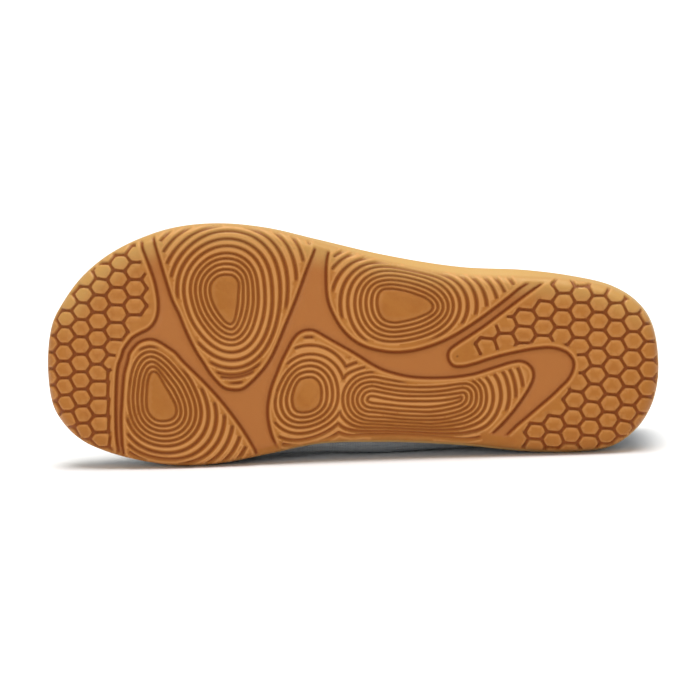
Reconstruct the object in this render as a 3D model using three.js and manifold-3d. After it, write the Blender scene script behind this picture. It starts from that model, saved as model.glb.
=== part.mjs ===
// Left barefoot shoe, size about 42: a moulded rubber cup outsole with six raised tread pads and the flex channels
// between them, a one-piece knitted slip-on upper with a padded collar, and a foam insole.
// The shoe is made standing in its own frame (x from the heel to the toe, +y to the outer side of the foot, z up from
// the ground plane), and is then laid on its inner side, so that sole edge and upper both touch z = 0.
// Millimetres throughout.
import * as THREE from "three";
import { mergeVertices } from "three/addons/utils/BufferGeometryUtils.js";
import Module from "manifold-3d";

const wasm = await Module();
wasm.setup();

// ---------------------------------------------------------------- driving sizes
const LENGTH = 280; // heel to toe, over the rubber
const STATIONS = 40; // sections from heel to toe
const FLOOR = 3.8; // rubber under the foot, tread pads included
const CHANNEL = 1.2; // depth of the flex channels
const CUP_WALL = 2.8; // rubber wall of the cup
const GAP = 0.3; // clearance between pieces
const UPPER_WALL = 1.8; // knitted wall
const UNDER_WALL = 1.2; // its margin under the foot
const COLLAR_WALL = 3.2; // padded collar
const MARGIN = 7; // the upper's lasting margin under the foot
const INSOLE = 3; // foam insole
const EDGE_ANGLE = 75; // where the rounded tread edge turns into the side wall, degrees
const TOE_SPRING = { from: 212, rise: 9, power: 2.2 };
const HEEL_ROLL = { to: 22, rise: 1.5, power: 2 };

// Outline of the rubber seen from below: med and lat are the half widths to the inner and outer side of the heel's axis.
const OUTLINE = [
  { x: 0, med: 3.2, lat: -3.2 },
  { x: 3, med: 20.2, lat: 16.6 },
  { x: 10.3, med: 31.7, lat: 27.1 },
  { x: 21.2, med: 39.4, lat: 33.9 },
  { x: 39.6, med: 42.2, lat: 38.5 },
  { x: 61.6, med: 41.8, lat: 41.3 },
  { x: 91, med: 39.0, lat: 42.7 },
  { x: 127.6, med: 37.6, lat: 48.6 },
  { x: 157, med: 38.6, lat: 55.5 },
  { x: 179, med: 43.1, lat: 60.6 },
  { x: 201, med: 47.3, lat: 62.7 },
  { x: 223, med: 48.1, lat: 60.5 },
  { x: 237.6, med: 46.0, lat: 55.7 },
  { x: 252.3, med: 42.2, lat: 48.0 },
  { x: 263, med: 37.7, lat: 39.2 },
  { x: 273.4, med: 28.3, lat: 25.4 },
  { x: 278, med: 19.4, lat: 15.8 },
  { x: 280, med: 1.4, lat: -1.4 },
];

// The rounded tread edge: run in from the outline, rise, flare of the wall above it, and height of the cup's rim.
const EDGE = [
  { x: 0, mrun: 5.5, mrise: 5, mflare: 0.4, mrim: 15, lrun: 5.5, lrise: 5, lflare: 0.4, lrim: 15 },
  { x: 25, mrun: 6.5, mrise: 5.5, mflare: 0.8, mrim: 13.5, lrun: 5, lrise: 5, lflare: 2.2, lrim: 13.5 },
  { x: 60, mrun: 9, mrise: 7, mflare: 1.0, mrim: 12, lrun: 5, lrise: 5, lflare: 3.2, lrim: 12 },
  { x: 115, mrun: 11, mrise: 7.5, mflare: 1.0, mrim: 12, lrun: 5.5, lrise: 5, lflare: 2.6, lrim: 11.5 },
  { x: 155, mrun: 9, mrise: 6.5, mflare: 0.8, mrim: 11.5, lrun: 5, lrise: 5, lflare: 1.0, lrim: 11 },
  { x: 190, mrun: 5, mrise: 5, mflare: 0.4, mrim: 11, lrun: 4.5, lrise: 5, lflare: 0.4, lrim: 11 },
  { x: 235, mrun: 4.5, mrise: 4.8, mflare: 0.3, mrim: 12, lrun: 4.5, lrise: 4.8, lflare: 0.3, lrim: 12 },
  { x: 280, mrun: 7, mrise: 5, mflare: 0.2, mrim: 14, lrun: 7, lrise: 5, lflare: 0.2, lrim: 14 },
];

// Inner runs of the six tread pads, each from one sole edge to another, and the corners that close it outside the sole.
const PADS = {
  toe: {
    run: [[237.6, 58], [237.1, 53.2], [233.9, 44], [230.5, 34.8], [229.6, 25.7], [232.1, 17.9], [238.5, 12.8], [244.5, 7.8], [247.7, 1.8], [248.7, -6.4], [249.1, -20.2], [249.1, -34.8], [248.2, -44]],
    close: [[248.2, -62], [300, -62], [300, 75], [238, 75]],
  },
  ball: {
    run: [[230.5, 60], [230.1, 54.5], [226.9, 44], [221.6, 28.9], [214.7, 11.9], [206.9, -0.9], [199.4, -9.4], [193.4, -12], [187, -10.5], [180.5, -4.1], [174.4, 7.3], [167.3, 24.7], [161.5, 41.7], [157.9, 54], [156.5, 60]],
    close: [[156.5, 80], [230.5, 80]],
  },
  inner_ball: {
    run: [[244.5, -46], [245.1, -33.9], [244.7, -15.6], [243, -4.1], [239.9, 4.6], [235, 8.2], [229.1, 8.3], [222.5, 3.7], [212.4, -5.5], [201, -18.1], [191.8, -29.8], [186.8, -38], [183.5, -46]],
    close: [[183.5, -65], [244.5, -65]],
  },
  outer_waist: {
    run: [[148.3, 56], [149.8, 50], [151.9, 38], [151.5, 28], [147.6, 18.6], [138.6, 9.6], [128.7, 5.5], [118.5, 4.6], [106.9, 7.3], [91.8, 14.2], [77.3, 22.8], [64.4, 32.5], [52, 42.5]],
    close: [[44, 62], [52, 75], [148, 75]],
  },
  inner_waist: {
    run: [[172, -44], [175.7, -38.5], [178.4, -27], [177.6, -17], [173.7, -5.5], [168.5, 5.5], [163.9, 12.2], [159.5, 13.7], [153, 11.3], [143.6, 6.1], [131.5, -1.7], [120.5, -6.2], [107, -8.2], [93.3, -7.3], [77.3, -3.2], [66.6, -1], [60.3, -1.5], [57.9, -5.6], [60.1, -12.5], [67, -22.2], [77.2, -33], [90, -42]],
    close: [[96, -60], [172, -60]],
  },
  heel: {
    run: [[42, 44], [52.2, 36.4], [63.5, 26.6], [77.2, 16.3], [91.5, 7.1], [95.6, 4.6], [95.9, 1.1], [92.5, -1.5], [85, -1], [70, 3], [56, 5.9], [48.8, 6.6], [42.2, 4.6], [38.9, -1], [40.1, -7.3], [46.5, -14.9], [56, -23.3], [67.6, -33], [78, -43]],
    close: [[72, -65], [-25, -65], [-25, 62], [30, 62]],
  },
};

// Line of the collar, from the back of the heel (t 0) to the front of the throat (t 1): place, half width, height, and
// how the wall arrives there (fx, fy, fz point down the wall).
const COLLAR = [
  { t: 0, x: 7.5, half: 0, z: 76, fx: -3, fy: 0, fz: -22 },
  { t: 0.14, x: 11, half: 15, z: 74.5, fx: -2.5, fy: 2, fz: -22 },
  { t: 0.3, x: 28, half: 28.5, z: 67.5, fx: -1, fy: 3, fz: -21 },
  { t: 0.5, x: 57, half: 33.5, z: 60, fx: 1, fy: 3, fz: -20 },
  { t: 0.68, x: 84, half: 31.5, z: 64, fx: 6, fy: 6, fz: -20 },
  { t: 0.84, x: 106, half: 22.5, z: 74, fx: 28, fy: 13, fz: -18 },
  { t: 0.94, x: 116.5, half: 11, z: 81, fx: 52, fy: 12, fz: -21 },
  { t: 1, x: 119.5, half: 0, z: 83, fx: 66, fy: 0, fz: -25 },
];

// How the wall leaves the cup's rim: lean outwards and rise of its first tangent, on each side, and the place on the collar.
const WALL = [
  { x: 0, t: 0, mlean: 4, mrise: 26, llean: 4, lrise: 26 },
  { x: 12, t: 0.14, mlean: 3, mrise: 25, llean: 3, lrise: 25 },
  { x: 32, t: 0.29, mlean: 3, mrise: 22, llean: 2, lrise: 23 },
  { x: 62, t: 0.46, mlean: 3.5, mrise: 18, llean: 1, lrise: 20 },
  { x: 100, t: 0.62, mlean: 12, mrise: 14, llean: 0, lrise: 22 },
  { x: 140, t: 0.75, mlean: 18.5, mrise: 12.5, llean: 0, lrise: 24 },
  { x: 185, t: 0.86, mlean: 9.5, mrise: 18, llean: 1, lrise: 25 },
  { x: 225, t: 0.93, mlean: 1.5, mrise: 29, llean: 1, lrise: 25 },
  { x: 262, t: 0.98, mlean: 1.5, mrise: 25, llean: 1.5, lrise: 25 },
  { x: 280, t: 1, mlean: 2, mrise: 23, llean: 2, lrise: 23 },
];

// ---------------------------------------------------------------- helpers
// Smooth interpolation of one column of a table, on the key s(row).
function column(rows, key, name, at) {
  const k = rows.map(key),
    v = rows.map((r) => r[name]),
    n = rows.length;
  const slope = v.map((_, i) => {
    if (i === 0) return (v[1] - v[0]) / (k[1] - k[0]);
    if (i === n - 1) return (v[n - 1] - v[n - 2]) / (k[n - 1] - k[n - 2]);
    const a = (v[i] - v[i - 1]) / (k[i] - k[i - 1]),
      b = (v[i + 1] - v[i]) / (k[i + 1] - k[i]),
      h0 = k[i] - k[i - 1],
      h1 = k[i + 1] - k[i];
    return (a * h1 + b * h0) / (h0 + h1);
  });
  const x = Math.min(Math.max(at, k[0]), k[n - 1]);
  let i = 0;
  while (i < n - 2 && x > k[i + 1]) i++;
  const h = k[i + 1] - k[i],
    t = (x - k[i]) / h,
    t2 = t * t,
    t3 = t2 * t;
  return (
    (2 * t3 - 3 * t2 + 1) * v[i] + (t3 - 2 * t2 + t) * h * slope[i] + (3 * t2 - 2 * t3) * v[i + 1] + (t3 - t2) * h * slope[i + 1]
  );
}
const angleOf = (x) => Math.acos(1 - (2 * Math.min(Math.max(x, 0), LENGTH)) / LENGTH);
const byAngle = (r) => angleOf(r.x);

// The station loop: from the back of the heel along the inner side to the toe, and back along the outer side.
const loop = [];
for (let i = 0; i < 2 * STATIONS; i++) {
  const inner = i <= STATIONS,
    phi = (Math.PI * (inner ? i : 2 * STATIONS - i)) / STATIONS,
    x = (LENGTH / 2) * (1 - Math.cos(phi)),
    side = inner ? "m" : "l";
  const half = column(OUTLINE, byAngle, inner ? "med" : "lat", phi);
  const edge = (n) => column(EDGE, byAngle, side + n, phi),
    wall = (n) => column(WALL, byAngle, side + n, phi);
  loop.push({
    i,
    phi,
    sign: inner ? -1 : 1,
    p: new THREE.Vector2(x, inner ? -half : half),
    run: edge("run"),
    rise: edge("rise"),
    flare: edge("flare"),
    rim: edge("rim"),
    lean: wall("lean"),
    lift: wall("rise"),
    t: column(WALL, byAngle, "t", phi),
  });
}
const N = loop.length;
for (const s of loop) {
  const a = loop[(s.i + N - 1) % N].p,
    b = loop[(s.i + 1) % N].p;
  s.out = new THREE.Vector2(b.y - a.y, a.x - b.x).normalize(); // outward normal in the plan
}
// The two sides meet at the tips: their tables are evened out there.
const inset = (s, d) => s.p.clone().addScaledVector(s.out, -d);

// One point of a ring: plan distance in from the outline, and height.
const ringPoint = (s, d, z) => {
  const q = inset(s, d);
  return new THREE.Vector3(q.x, q.y, z);
};

const spring = (x) => {
  let z = 0;
  if (x > TOE_SPRING.from) z += TOE_SPRING.rise * Math.pow((x - TOE_SPRING.from) / (LENGTH - TOE_SPRING.from), TOE_SPRING.power);
  if (x < HEEL_ROLL.to) z += HEEL_ROLL.rise * Math.pow((HEEL_ROLL.to - x) / HEEL_ROLL.to, HEEL_ROLL.power);
  return z;
};

// A closed surface through rings of N points each; the first and last ring are closed across the shoe, station by station,
// or the last joins the first when the section is a closed one.
function loft(rings, closedSection) {
  const position = [],
    index = [];
  for (const ring of rings) for (const p of ring) position.push(p.x, p.y, p.z);
  const at = (r, i) => r * N + ((i + N) % N);
  const rows = closedSection ? rings.length : rings.length - 1;
  for (let r = 0; r < rows; r++) {
    const r2 = (r + 1) % rings.length;
    for (let i = 0; i < N; i++) index.push(at(r, i), at(r, i + 1), at(r2, i), at(r, i + 1), at(r2, i + 1), at(r2, i));
  }
  if (!closedSection) {
    const ladder = (r, flip) => {
      for (let k = 0; k < STATIONS; k++) {
        const a = at(r, k),
          b = at(r, k + 1),
          c = at(r, N - k),
          d = at(r, N - k - 1);
        const tri = (x, y, z) => (flip ? index.push(x, z, y) : index.push(x, y, z));
        if (k > 0) tri(a, b, c);
        if (k < STATIONS - 1) tri(b, d, c);
        // at the tips one of the two triangles has no width
      }
    };
    ladder(0, true);
    ladder(rings.length - 1, false);
  }
  const g = new THREE.BufferGeometry();
  g.setAttribute("position", new THREE.BufferAttribute(new Float32Array(position), 3));
  g.setIndex(index);
  return g;
}

function solid(geometry) {
  const bare = geometry.index ? geometry.toNonIndexed() : geometry.clone();
  for (const name of Object.keys(bare.attributes)) if (name !== "position") bare.deleteAttribute(name);
  const m = mergeVertices(bare, 1e-3);
  const made = new wasm.Manifold(
    new wasm.Mesh({ numProp: 3, vertProperties: m.attributes.position.array, triVerts: new Uint32Array(m.index.array) }),
  );
  return made;
}

function geometryOf(manifold) {
  const m = manifold.getMesh();
  const g = new THREE.BufferGeometry();
  const v = new Float32Array(m.numVert * 3);
  for (let i = 0; i < m.numVert; i++) for (let k = 0; k < 3; k++) v[3 * i + k] = m.vertProperties[i * m.numProp + k];
  g.setAttribute("position", new THREE.BufferAttribute(v, 3));
  g.setIndex(new THREE.BufferAttribute(new Uint32Array(m.triVerts), 1));
  return g;
}

// Splits edges that are long along the shoe where the sole curves up, alike on both sides of an edge, then bends the piece.
function bend(geometry, longest = 11) {
  let p = Array.from(geometry.attributes.position.array),
    tris = Array.from(geometry.index.array);
  for (let pass = 0; pass < 6; pass++) {
    const middle = new Map(),
      next = [];
    const split = (a, b) => {
      const dx = Math.abs(p[3 * a] - p[3 * b]),
        far = Math.max(p[3 * a], p[3 * b]);
      if (dx <= longest || far < TOE_SPRING.from + 4) return -1;
      const key = a < b ? a + "_" + b : b + "_" + a;
      if (!middle.has(key)) {
        middle.set(key, p.length / 3);
        for (let k = 0; k < 3; k++) p.push((p[3 * a + k] + p[3 * b + k]) / 2);
      }
      return middle.get(key);
    };
    for (let i = 0; i < tris.length; i += 3) {
      let [a, b, c] = tris.slice(i, i + 3);
      let ab = split(a, b),
        bc = split(b, c),
        ca = split(c, a);
      const n = (ab >= 0) + (bc >= 0) + (ca >= 0);
      if (n === 0) next.push(a, b, c);
      else if (n === 3) next.push(a, ab, ca, ab, b, bc, ca, bc, c, ab, bc, ca);
      else {
        // turn the triangle so that its first edge is split, and with two splits also its second
        while (!(ab >= 0 && (n === 1 || bc >= 0))) [a, b, c, ab, bc, ca] = [b, c, a, bc, ca, ab];
        if (n === 1) next.push(a, ab, c, ab, b, c);
        else next.push(a, ab, bc, a, bc, c, ab, b, bc);
      }
    }
    tris = next;
    if (!middle.size) break;
  }
  for (let i = 0; i < p.length; i += 3) p[i + 2] += spring(p[i]);
  const g = new THREE.BufferGeometry();
  g.setAttribute("position", new THREE.BufferAttribute(new Float32Array(p), 3));
  g.setIndex(tris);
  return g;
}

// ---------------------------------------------------------------- outsole
const cornerRun = (s) => Math.max(2, 0.75 * s.run - 1); // the cup's inner corner
const cornerRise = (s) => Math.max(2, 0.75 * s.rise - 1);
const edgeSin = Math.sin((EDGE_ANGLE * Math.PI) / 180),
  edgeCos = 1 - Math.cos((EDGE_ANGLE * Math.PI) / 180);

// Points of a layer inside the cup that lies off from the cup's inner face, from the floor up to the rim.
function layer(s, off, steps) {
  const run = Math.max(0.3, cornerRun(s) - off),
    rise = Math.max(0.3, cornerRise(s) - off),
    base = CUP_WALL + s.flare + off,
    floor = FLOOR + off;
  const points = [];
  for (let j = 0; j <= steps; j++) {
    const a = (Math.PI / 2) * (j / steps);
    points.push([base + run * (1 - Math.sin(a)), floor + rise * (1 - Math.cos(a))]);
  }
  return points;
}

const ringsOf = (sections) => sections[0].map((_, r) => sections.map((sec, i) => ringPoint(loop[i], ...sec[r])));

const cupSections = loop.map((s) => {
  const outer = [];
  for (let j = 0; j <= 5; j++) {
    const a = ((EDGE_ANGLE * Math.PI) / 180) * (j / 5);
    outer.push([s.run + s.flare - (s.run * Math.sin(a)) / edgeSin, (s.rise * (1 - Math.cos(a))) / edgeCos]);
  }
  outer.push([0, s.rim - 0.8], [0.8, s.rim], [CUP_WALL, s.rim]);
  return [...outer, ...layer(s, 0, 3).reverse()];
});
const cup = solid(loft(ringsOf(cupSections), false));

// A pad's plan shape: its run is a smooth curve, its closing corners lie outside the sole.
function padShape({ run, close }) {
  const curve = new THREE.SplineCurve(run.map(([x, y]) => new THREE.Vector2(x, y)));
  const pts = curve.getPoints(run.length * 3);
  return [...pts, ...close.map(([x, y]) => new THREE.Vector2(x, y))];
}
const around = new THREE.Shape([
  new THREE.Vector2(-40, -90),
  new THREE.Vector2(320, -90),
  new THREE.Vector2(320, 100),
  new THREE.Vector2(-40, 100),
]);
const prism = (shape, low, high) =>
  solid(new THREE.ExtrudeGeometry(shape, { depth: high - low, bevelEnabled: false }).translate(0, 0, low));
let channels = prism(around, -5, CHANNEL);
for (const pad of Object.values(PADS)) channels = channels.subtract(prism(new THREE.Shape(padShape(pad)), -6, CHANNEL + 1));
const outsole = bend(geometryOf(cup.subtract(channels)));

// ---------------------------------------------------------------- upper
const collarAt = (s) => {
  const c = (n) => column(COLLAR, (r) => r.t, n, s.t);
  return {
    p: new THREE.Vector3(c("x"), s.sign * Math.max(0, c("half")), c("z")),
    f: new THREE.Vector3(c("fx"), s.sign * c("fy"), c("fz")),
  };
};
const RISE_STEPS = 10; // closer together near the sole
const outerSections = loop.map((s) => {
  const points = layer(s, GAP, 2).map(([d, z]) => ringPoint(s, d, z));
  const under = ringPoint(s, CUP_WALL + s.flare + GAP + Math.max(0.3, cornerRun(s) - GAP) + MARGIN, FLOOR + GAP);
  const foot = ringPoint(s, CUP_WALL + GAP, s.rim);
  const out = new THREE.Vector3(s.out.x, s.out.y, 0);
  const { p, f } = collarAt(s);
  const bezier = new THREE.CubicBezierCurve3(
    foot,
    foot.clone().addScaledVector(out, s.lean).add(new THREE.Vector3(0, 0, s.lift)),
    p.clone().add(f),
    p,
  );
  const rise = [];
  for (let j = 0; j <= RISE_STEPS; j++) rise.push(bezier.getPoint(Math.pow(j / RISE_STEPS, 1.25)));
  return [under, ...points, ...rise];
});
// Unit normals of the outer face, from its own grid.
const rows = outerSections[0].length;
const normals = outerSections.map((sec, i) =>
  sec.map((_, r) => {
    const prev = outerSections[(i + N - 1) % N][r],
      next = outerSections[(i + 1) % N][r];
    const low = sec[Math.max(0, r - 1)],
      high = sec[Math.min(rows - 1, r + 1)];
    return new THREE.Vector3().subVectors(next, prev).cross(new THREE.Vector3().subVectors(high, low)).normalize();
  }),
);
const wallAt = (r) => UPPER_WALL + (COLLAR_WALL - UPPER_WALL) * Math.min(1, Math.max(0, (r - rows + 4) / 3));
const upperSections = loop.map((s, i) => {
  const outer = outerSections[i],
    lowRows = 4; // under the foot and round the corner, where the wall is built on the cup's own layers
  const inner = layer(s, GAP + UNDER_WALL, 2).map(([d, z]) => ringPoint(s, d, z));
  const under = outer[0].clone().add(new THREE.Vector3(0, 0, UNDER_WALL));
  const innerAll = outer.map((p, r) => {
    if (r === 0) return under;
    if (r < lowRows) return inner[r - 1];
    return p.clone().addScaledVector(normals[i][r], -wallAt(r));
  });
  const top = outer[rows - 1],
    topIn = innerAll[rows - 1];
  const crown = top.clone().add(topIn).multiplyScalar(0.5).add(new THREE.Vector3(0, 0, 1.2));
  return [...outer, crown, ...innerAll.reverse()];
});
const upperRings = upperSections[0].map((_, r) => upperSections.map((sec) => sec[r]));
const upper = bend(geometryOf(solid(loft(upperRings, true))), 14);

// ---------------------------------------------------------------- insole
const insoleSections = loop.map((s) => {
  const off = UPPER_WALL + 2 * GAP + 0.1;
  const side = layer(s, off, 2);
  const flat = side[0][0]; // where the floor starts
  const step = flat + MARGIN - cornerRun(s) + Math.max(0.3, cornerRun(s) - off) + 1;
  const top = FLOOR + off + INSOLE;
  const hole = CUP_WALL + s.flare + GAP + Math.max(0.3, cornerRun(s) - GAP) + MARGIN + 1;
  const rim = side.filter(([, z]) => z < top - 0.4);
  while (rim.length < 3) rim.push(rim[rim.length - 1]);
  const last = side[side.length - 1];
  return { s, side, flat, hole, top, off, last };
});
const insoleRings = [
  ...[(q) => [q.hole, FLOOR + GAP], (q) => [q.hole - 0.1, FLOOR + q.off], (q) => q.side[0], (q) => q.side[1], (q) => [q.last[0], Math.max(q.last[1], q.top - 0.8)], (q) => [q.last[0] + 1.2, Math.max(q.last[1] + 0.6, q.top)], (q) => [q.hole + 3, q.top]].map(
    (f) => insoleSections.map((q) => ringPoint(q.s, ...f(q))),
  ),
];
const insole = bend(geometryOf(solid(loft(insoleRings, false))), 16);

// ---------------------------------------------------------------- laying it down
// Volume and its centre.
function weigh(geometry) {
  const g = geometry.attributes.position,
    t = geometry.index.array;
  const a = new THREE.Vector3(),
    b = new THREE.Vector3(),
    c = new THREE.Vector3(),
    sum = new THREE.Vector3();
  let volume = 0;
  for (let i = 0; i < t.length; i += 3) {
    a.fromBufferAttribute(g, t[i]);
    b.fromBufferAttribute(g, t[i + 1]);
    c.fromBufferAttribute(g, t[i + 2]);
    const v = a.dot(b.clone().cross(c)) / 6;
    volume += v;
    sum.addScaledVector(a.add(b).add(c), v / 4);
  }
  return { volume, centre: sum.divideScalar(volume) };
}

// The plane on which the shoe comes to rest on its inner side: it rolls from one edge of contact to the next until the
// centre of mass stands over the three places that touch.
function restingPlane(geometries, mass, start) {
  const pts = [];
  for (const g of geometries) {
    const a = g.attributes.position;
    for (let i = 0; i < a.count; i++) pts.push(new THREE.Vector3().fromBufferAttribute(a, i));
  }
  // turns the plane with outward normal n about the axis through p until it meets another point
  const roll = (n, p, axis) => {
    const side = new THREE.Vector3().crossVectors(axis, n);
    let least = Infinity,
      hit = null;
    for (const q of pts) {
      const d = q.clone().sub(p),
        up = -d.dot(n),
        along = d.dot(side);
      if (Math.hypot(up, along) < 4) continue;
      const angle = Math.atan2(up, along);
      if (angle > 1e-7 && angle < least) [least, hit] = [angle, q];
    }
    // the normal turns towards the point, so that it comes to lie in the plane
    return { n: n.clone().applyAxisAngle(axis, least), hit };
  };
  let n = start.clone();
  const a = pts.reduce((best, p) => (p.dot(n) > best.dot(n) ? p : best), pts[0]);
  // first edge: turn towards the centre of mass
  const flat = (v) => v.clone().addScaledVector(n, -v.dot(n));
  let dir = flat(mass.clone().sub(a)).normalize();
  let step = roll(n, a, new THREE.Vector3().crossVectors(n, dir).normalize());
  let touch = [a, step.hit];
  n = step.n;
  for (let k = 0; k < 40; k++) {
    const [p, q] = touch;
    const edge = q.clone().sub(p).normalize();
    dir = mass.clone().sub(p);
    dir.addScaledVector(n, -dir.dot(n)).addScaledVector(edge, -dir.dot(edge)).normalize();
    step = roll(n, p, new THREE.Vector3().crossVectors(n, dir).normalize());
    n = step.n;
    const three = [p, q, step.hit];
    // is the centre over the triangle? If not, keep the edge that it lies beyond.
    const m = mass.clone().addScaledVector(n, p.dot(n) - mass.dot(n));
    let beyond = null;
    for (let e = 0; e < 3; e++) {
      const u = three[e],
        v = three[(e + 1) % 3],
        w = three[(e + 2) % 3];
      const across = new THREE.Vector3().crossVectors(v.clone().sub(u), n);
      if (across.dot(w.clone().sub(u)) * across.dot(m.clone().sub(u)) < 0 && !(e === 0)) beyond = [u, v];
    }
    if (!beyond) return { n, touch: three, mass };
    touch = beyond;
  }
  throw new Error("no resting plane");
}
const DENSITY = { outsole: 1.12e-3, upper: 0.55e-3, insole: 0.15e-3 }; // grams per cubic millimetre
const weights = [
  [outsole, DENSITY.outsole],
  [upper, DENSITY.upper],
  [insole, DENSITY.insole],
].map(([g, d]) => ({ ...weigh(g), grams: weigh(g).volume * d }));
export const grams = weights.map((w) => w.grams);
const mass = weights
  .reduce((m, w) => m.addScaledVector(w.centre, w.grams), new THREE.Vector3())
  .divideScalar(grams.reduce((a, b) => a + b));
export const rest = restingPlane([outsole, upper], mass, new THREE.Vector3(0, -1, 0));

const down = rest.n; // becomes -Z
const zAxis = down.clone().negate();
// the toe points to -X, the tread to -Y
const xAxis = new THREE.Vector3(-1, 0, 0).addScaledVector(zAxis, zAxis.x).normalize();
const yAxis = new THREE.Vector3().crossVectors(zAxis, xAxis);
const turnIn = new THREE.Matrix4().makeBasis(xAxis, yAxis, zAxis).transpose();
const laid = new THREE.Group();
const rubber = new THREE.MeshStandardMaterial({ color: 0xbd8048, roughness: 0.55, metalness: 0 });
const knit = new THREE.MeshStandardMaterial({ color: 0x8b9396, roughness: 0.95, metalness: 0 });
const foam = new THREE.MeshStandardMaterial({ color: 0x3a3d42, roughness: 0.95, metalness: 0 });
const box = new THREE.Box3();
for (const [name, geometry, material] of [
  ["outsole", outsole, rubber],
  ["upper", upper, knit],
  ["insole", insole, foam],
]) {
  const mesh = new THREE.Mesh(geometry, material);
  mesh.name = name;
  laid.add(mesh);
  box.union(new THREE.Box3().setFromBufferAttribute(geometry.clone().applyMatrix4(turnIn).attributes.position));
}
const centre = box.getCenter(new THREE.Vector3());
const place = turnIn.clone().premultiply(new THREE.Matrix4().makeTranslation(-centre.x, -centre.y, -box.min.z));
laid.applyMatrix4(place);
export const placed = place;

const shoe = new THREE.Group();
shoe.add(laid);
export default shoe;
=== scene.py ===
import bpy
import math
import numpy as np
from mathutils import Matrix, Vector, kdtree
from mathutils.geometry import delaunay_2d_cdt


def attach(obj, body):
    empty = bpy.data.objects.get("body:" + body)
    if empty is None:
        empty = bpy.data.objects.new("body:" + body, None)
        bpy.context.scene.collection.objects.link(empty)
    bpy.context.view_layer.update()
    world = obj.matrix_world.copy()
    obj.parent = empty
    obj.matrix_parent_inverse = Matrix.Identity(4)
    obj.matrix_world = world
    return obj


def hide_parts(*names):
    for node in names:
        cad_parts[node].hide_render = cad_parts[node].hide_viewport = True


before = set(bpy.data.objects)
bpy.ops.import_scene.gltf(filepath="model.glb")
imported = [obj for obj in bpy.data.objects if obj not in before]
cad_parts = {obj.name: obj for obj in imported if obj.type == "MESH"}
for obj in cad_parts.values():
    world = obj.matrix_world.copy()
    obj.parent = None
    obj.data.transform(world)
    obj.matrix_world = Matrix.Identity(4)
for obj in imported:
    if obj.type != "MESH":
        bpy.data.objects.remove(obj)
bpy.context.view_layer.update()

# ------------------------------------------------------------------ sizes shared with the CAD part
LENGTH, FLOOR, CHANNEL, CUP_WALL, GAP = 280.0, 3.8, 1.2, 2.8, 0.3
UPPER_WALL, UNDER_WALL, COLLAR_WALL, MARGIN, INSOLE = 1.8, 1.2, 3.2, 7.0, 3.0
EDGE_ANGLE = math.radians(75)
SPRING_FROM, SPRING_RISE, SPRING_POWER = 212.0, 9.0, 2.2
ROLL_TO, ROLL_RISE = 22.0, 1.5

# x, half width to the inner side, half width to the outer side
OUTLINE = [
    (0, 3.2, -3.2), (3, 20.2, 16.6), (10.3, 31.7, 27.1), (21.2, 39.4, 33.9), (39.6, 42.2, 38.5), (61.6, 41.8, 41.3),
    (91, 39.0, 42.7), (127.6, 37.6, 48.6), (157, 38.6, 55.5), (179, 43.1, 60.6), (201, 47.3, 62.7), (223, 48.1, 60.5),
    (237.6, 46.0, 55.7), (252.3, 42.2, 48.0), (263, 37.7, 39.2), (273.4, 28.3, 25.4), (278, 19.4, 15.8), (280, 1.4, -1.4),
]
# x, then run, rise, flare and rim on the inner side, and the same on the outer side
EDGE = [
    (0, 5.5, 5, 0.4, 15, 5.5, 5, 0.4, 15), (25, 6.5, 5.5, 0.8, 13.5, 5, 5, 1.0, 13.5), (45, 7.9, 6.4, 0.9, 12.6, 5, 5, 1.7, 12.6), (60, 9, 7, 1.0, 12, 5, 5, 2.7, 12),
    (115, 11, 7.5, 1.0, 12, 5.5, 5, 2.6, 11.5), (155, 9, 6.5, 0.8, 11.5, 5, 5, 1.0, 11), (190, 5, 5, 0.4, 11, 4.5, 5, 0.4, 11),
    (235, 4.5, 4.8, 0.3, 12, 4.5, 4.8, 0.3, 12), (280, 7, 5, 0.2, 14, 7, 5, 0.2, 14),
]
# t, x, half width, height, and the direction in which the wall arrives
COLLAR = [
    (0, 7.5, 0, 76, -3, 0, -22), (0.14, 11, 15, 74.5, -2.5, 2, -22), (0.3, 28, 28.5, 67.5, -1, 3, -21), (0.5, 57, 33.5, 60, 1, 3, -20),
    (0.68, 84, 31.5, 64, 6, 6, -20), (0.84, 106, 22.5, 74, 28, 13, -18), (0.94, 116.5, 11, 81, 52, 12, -21), (1, 119.5, 0, 83, 66, 0, -25),
]
# x, t on the collar, lean and rise of the wall on the inner side, and the same on the outer side
WALL = [
    (0, 0, 4, 26, 4, 26), (12, 0.14, 3, 25, 3, 25), (32, 0.29, 3, 22, 2, 23), (62, 0.46, 3.5, 18, 1, 20), (100, 0.62, 12, 14, 0, 22),
    (140, 0.75, 18.5, 12.5, 0, 24), (185, 0.86, 9.5, 18, 1, 25), (225, 0.93, 1.5, 29, 1, 25), (262, 0.98, 1.5, 25, 1.5, 25), (280, 1, 2, 23, 2, 23),
]
# shoe frame to row frame
PLACED = np.array([
    [-0.999434, 0.033463, -0.003508, 140.064171],
    [0.0, 0.104259, 0.99455, -38.999353],
    [0.033646, 0.993987, -0.1042, 41.872879],
])

# ------------------------------------------------------------------ tread chart, in units of the 700 x 700 plan
UNIT = 0.4583


def mm(points):
    p = np.asarray(points, float).reshape(-1, 2)
    return np.stack([(658.5 - p[:, 0]) * UNIT, (361.0 - p[:, 1]) * UNIT], 1)


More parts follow.
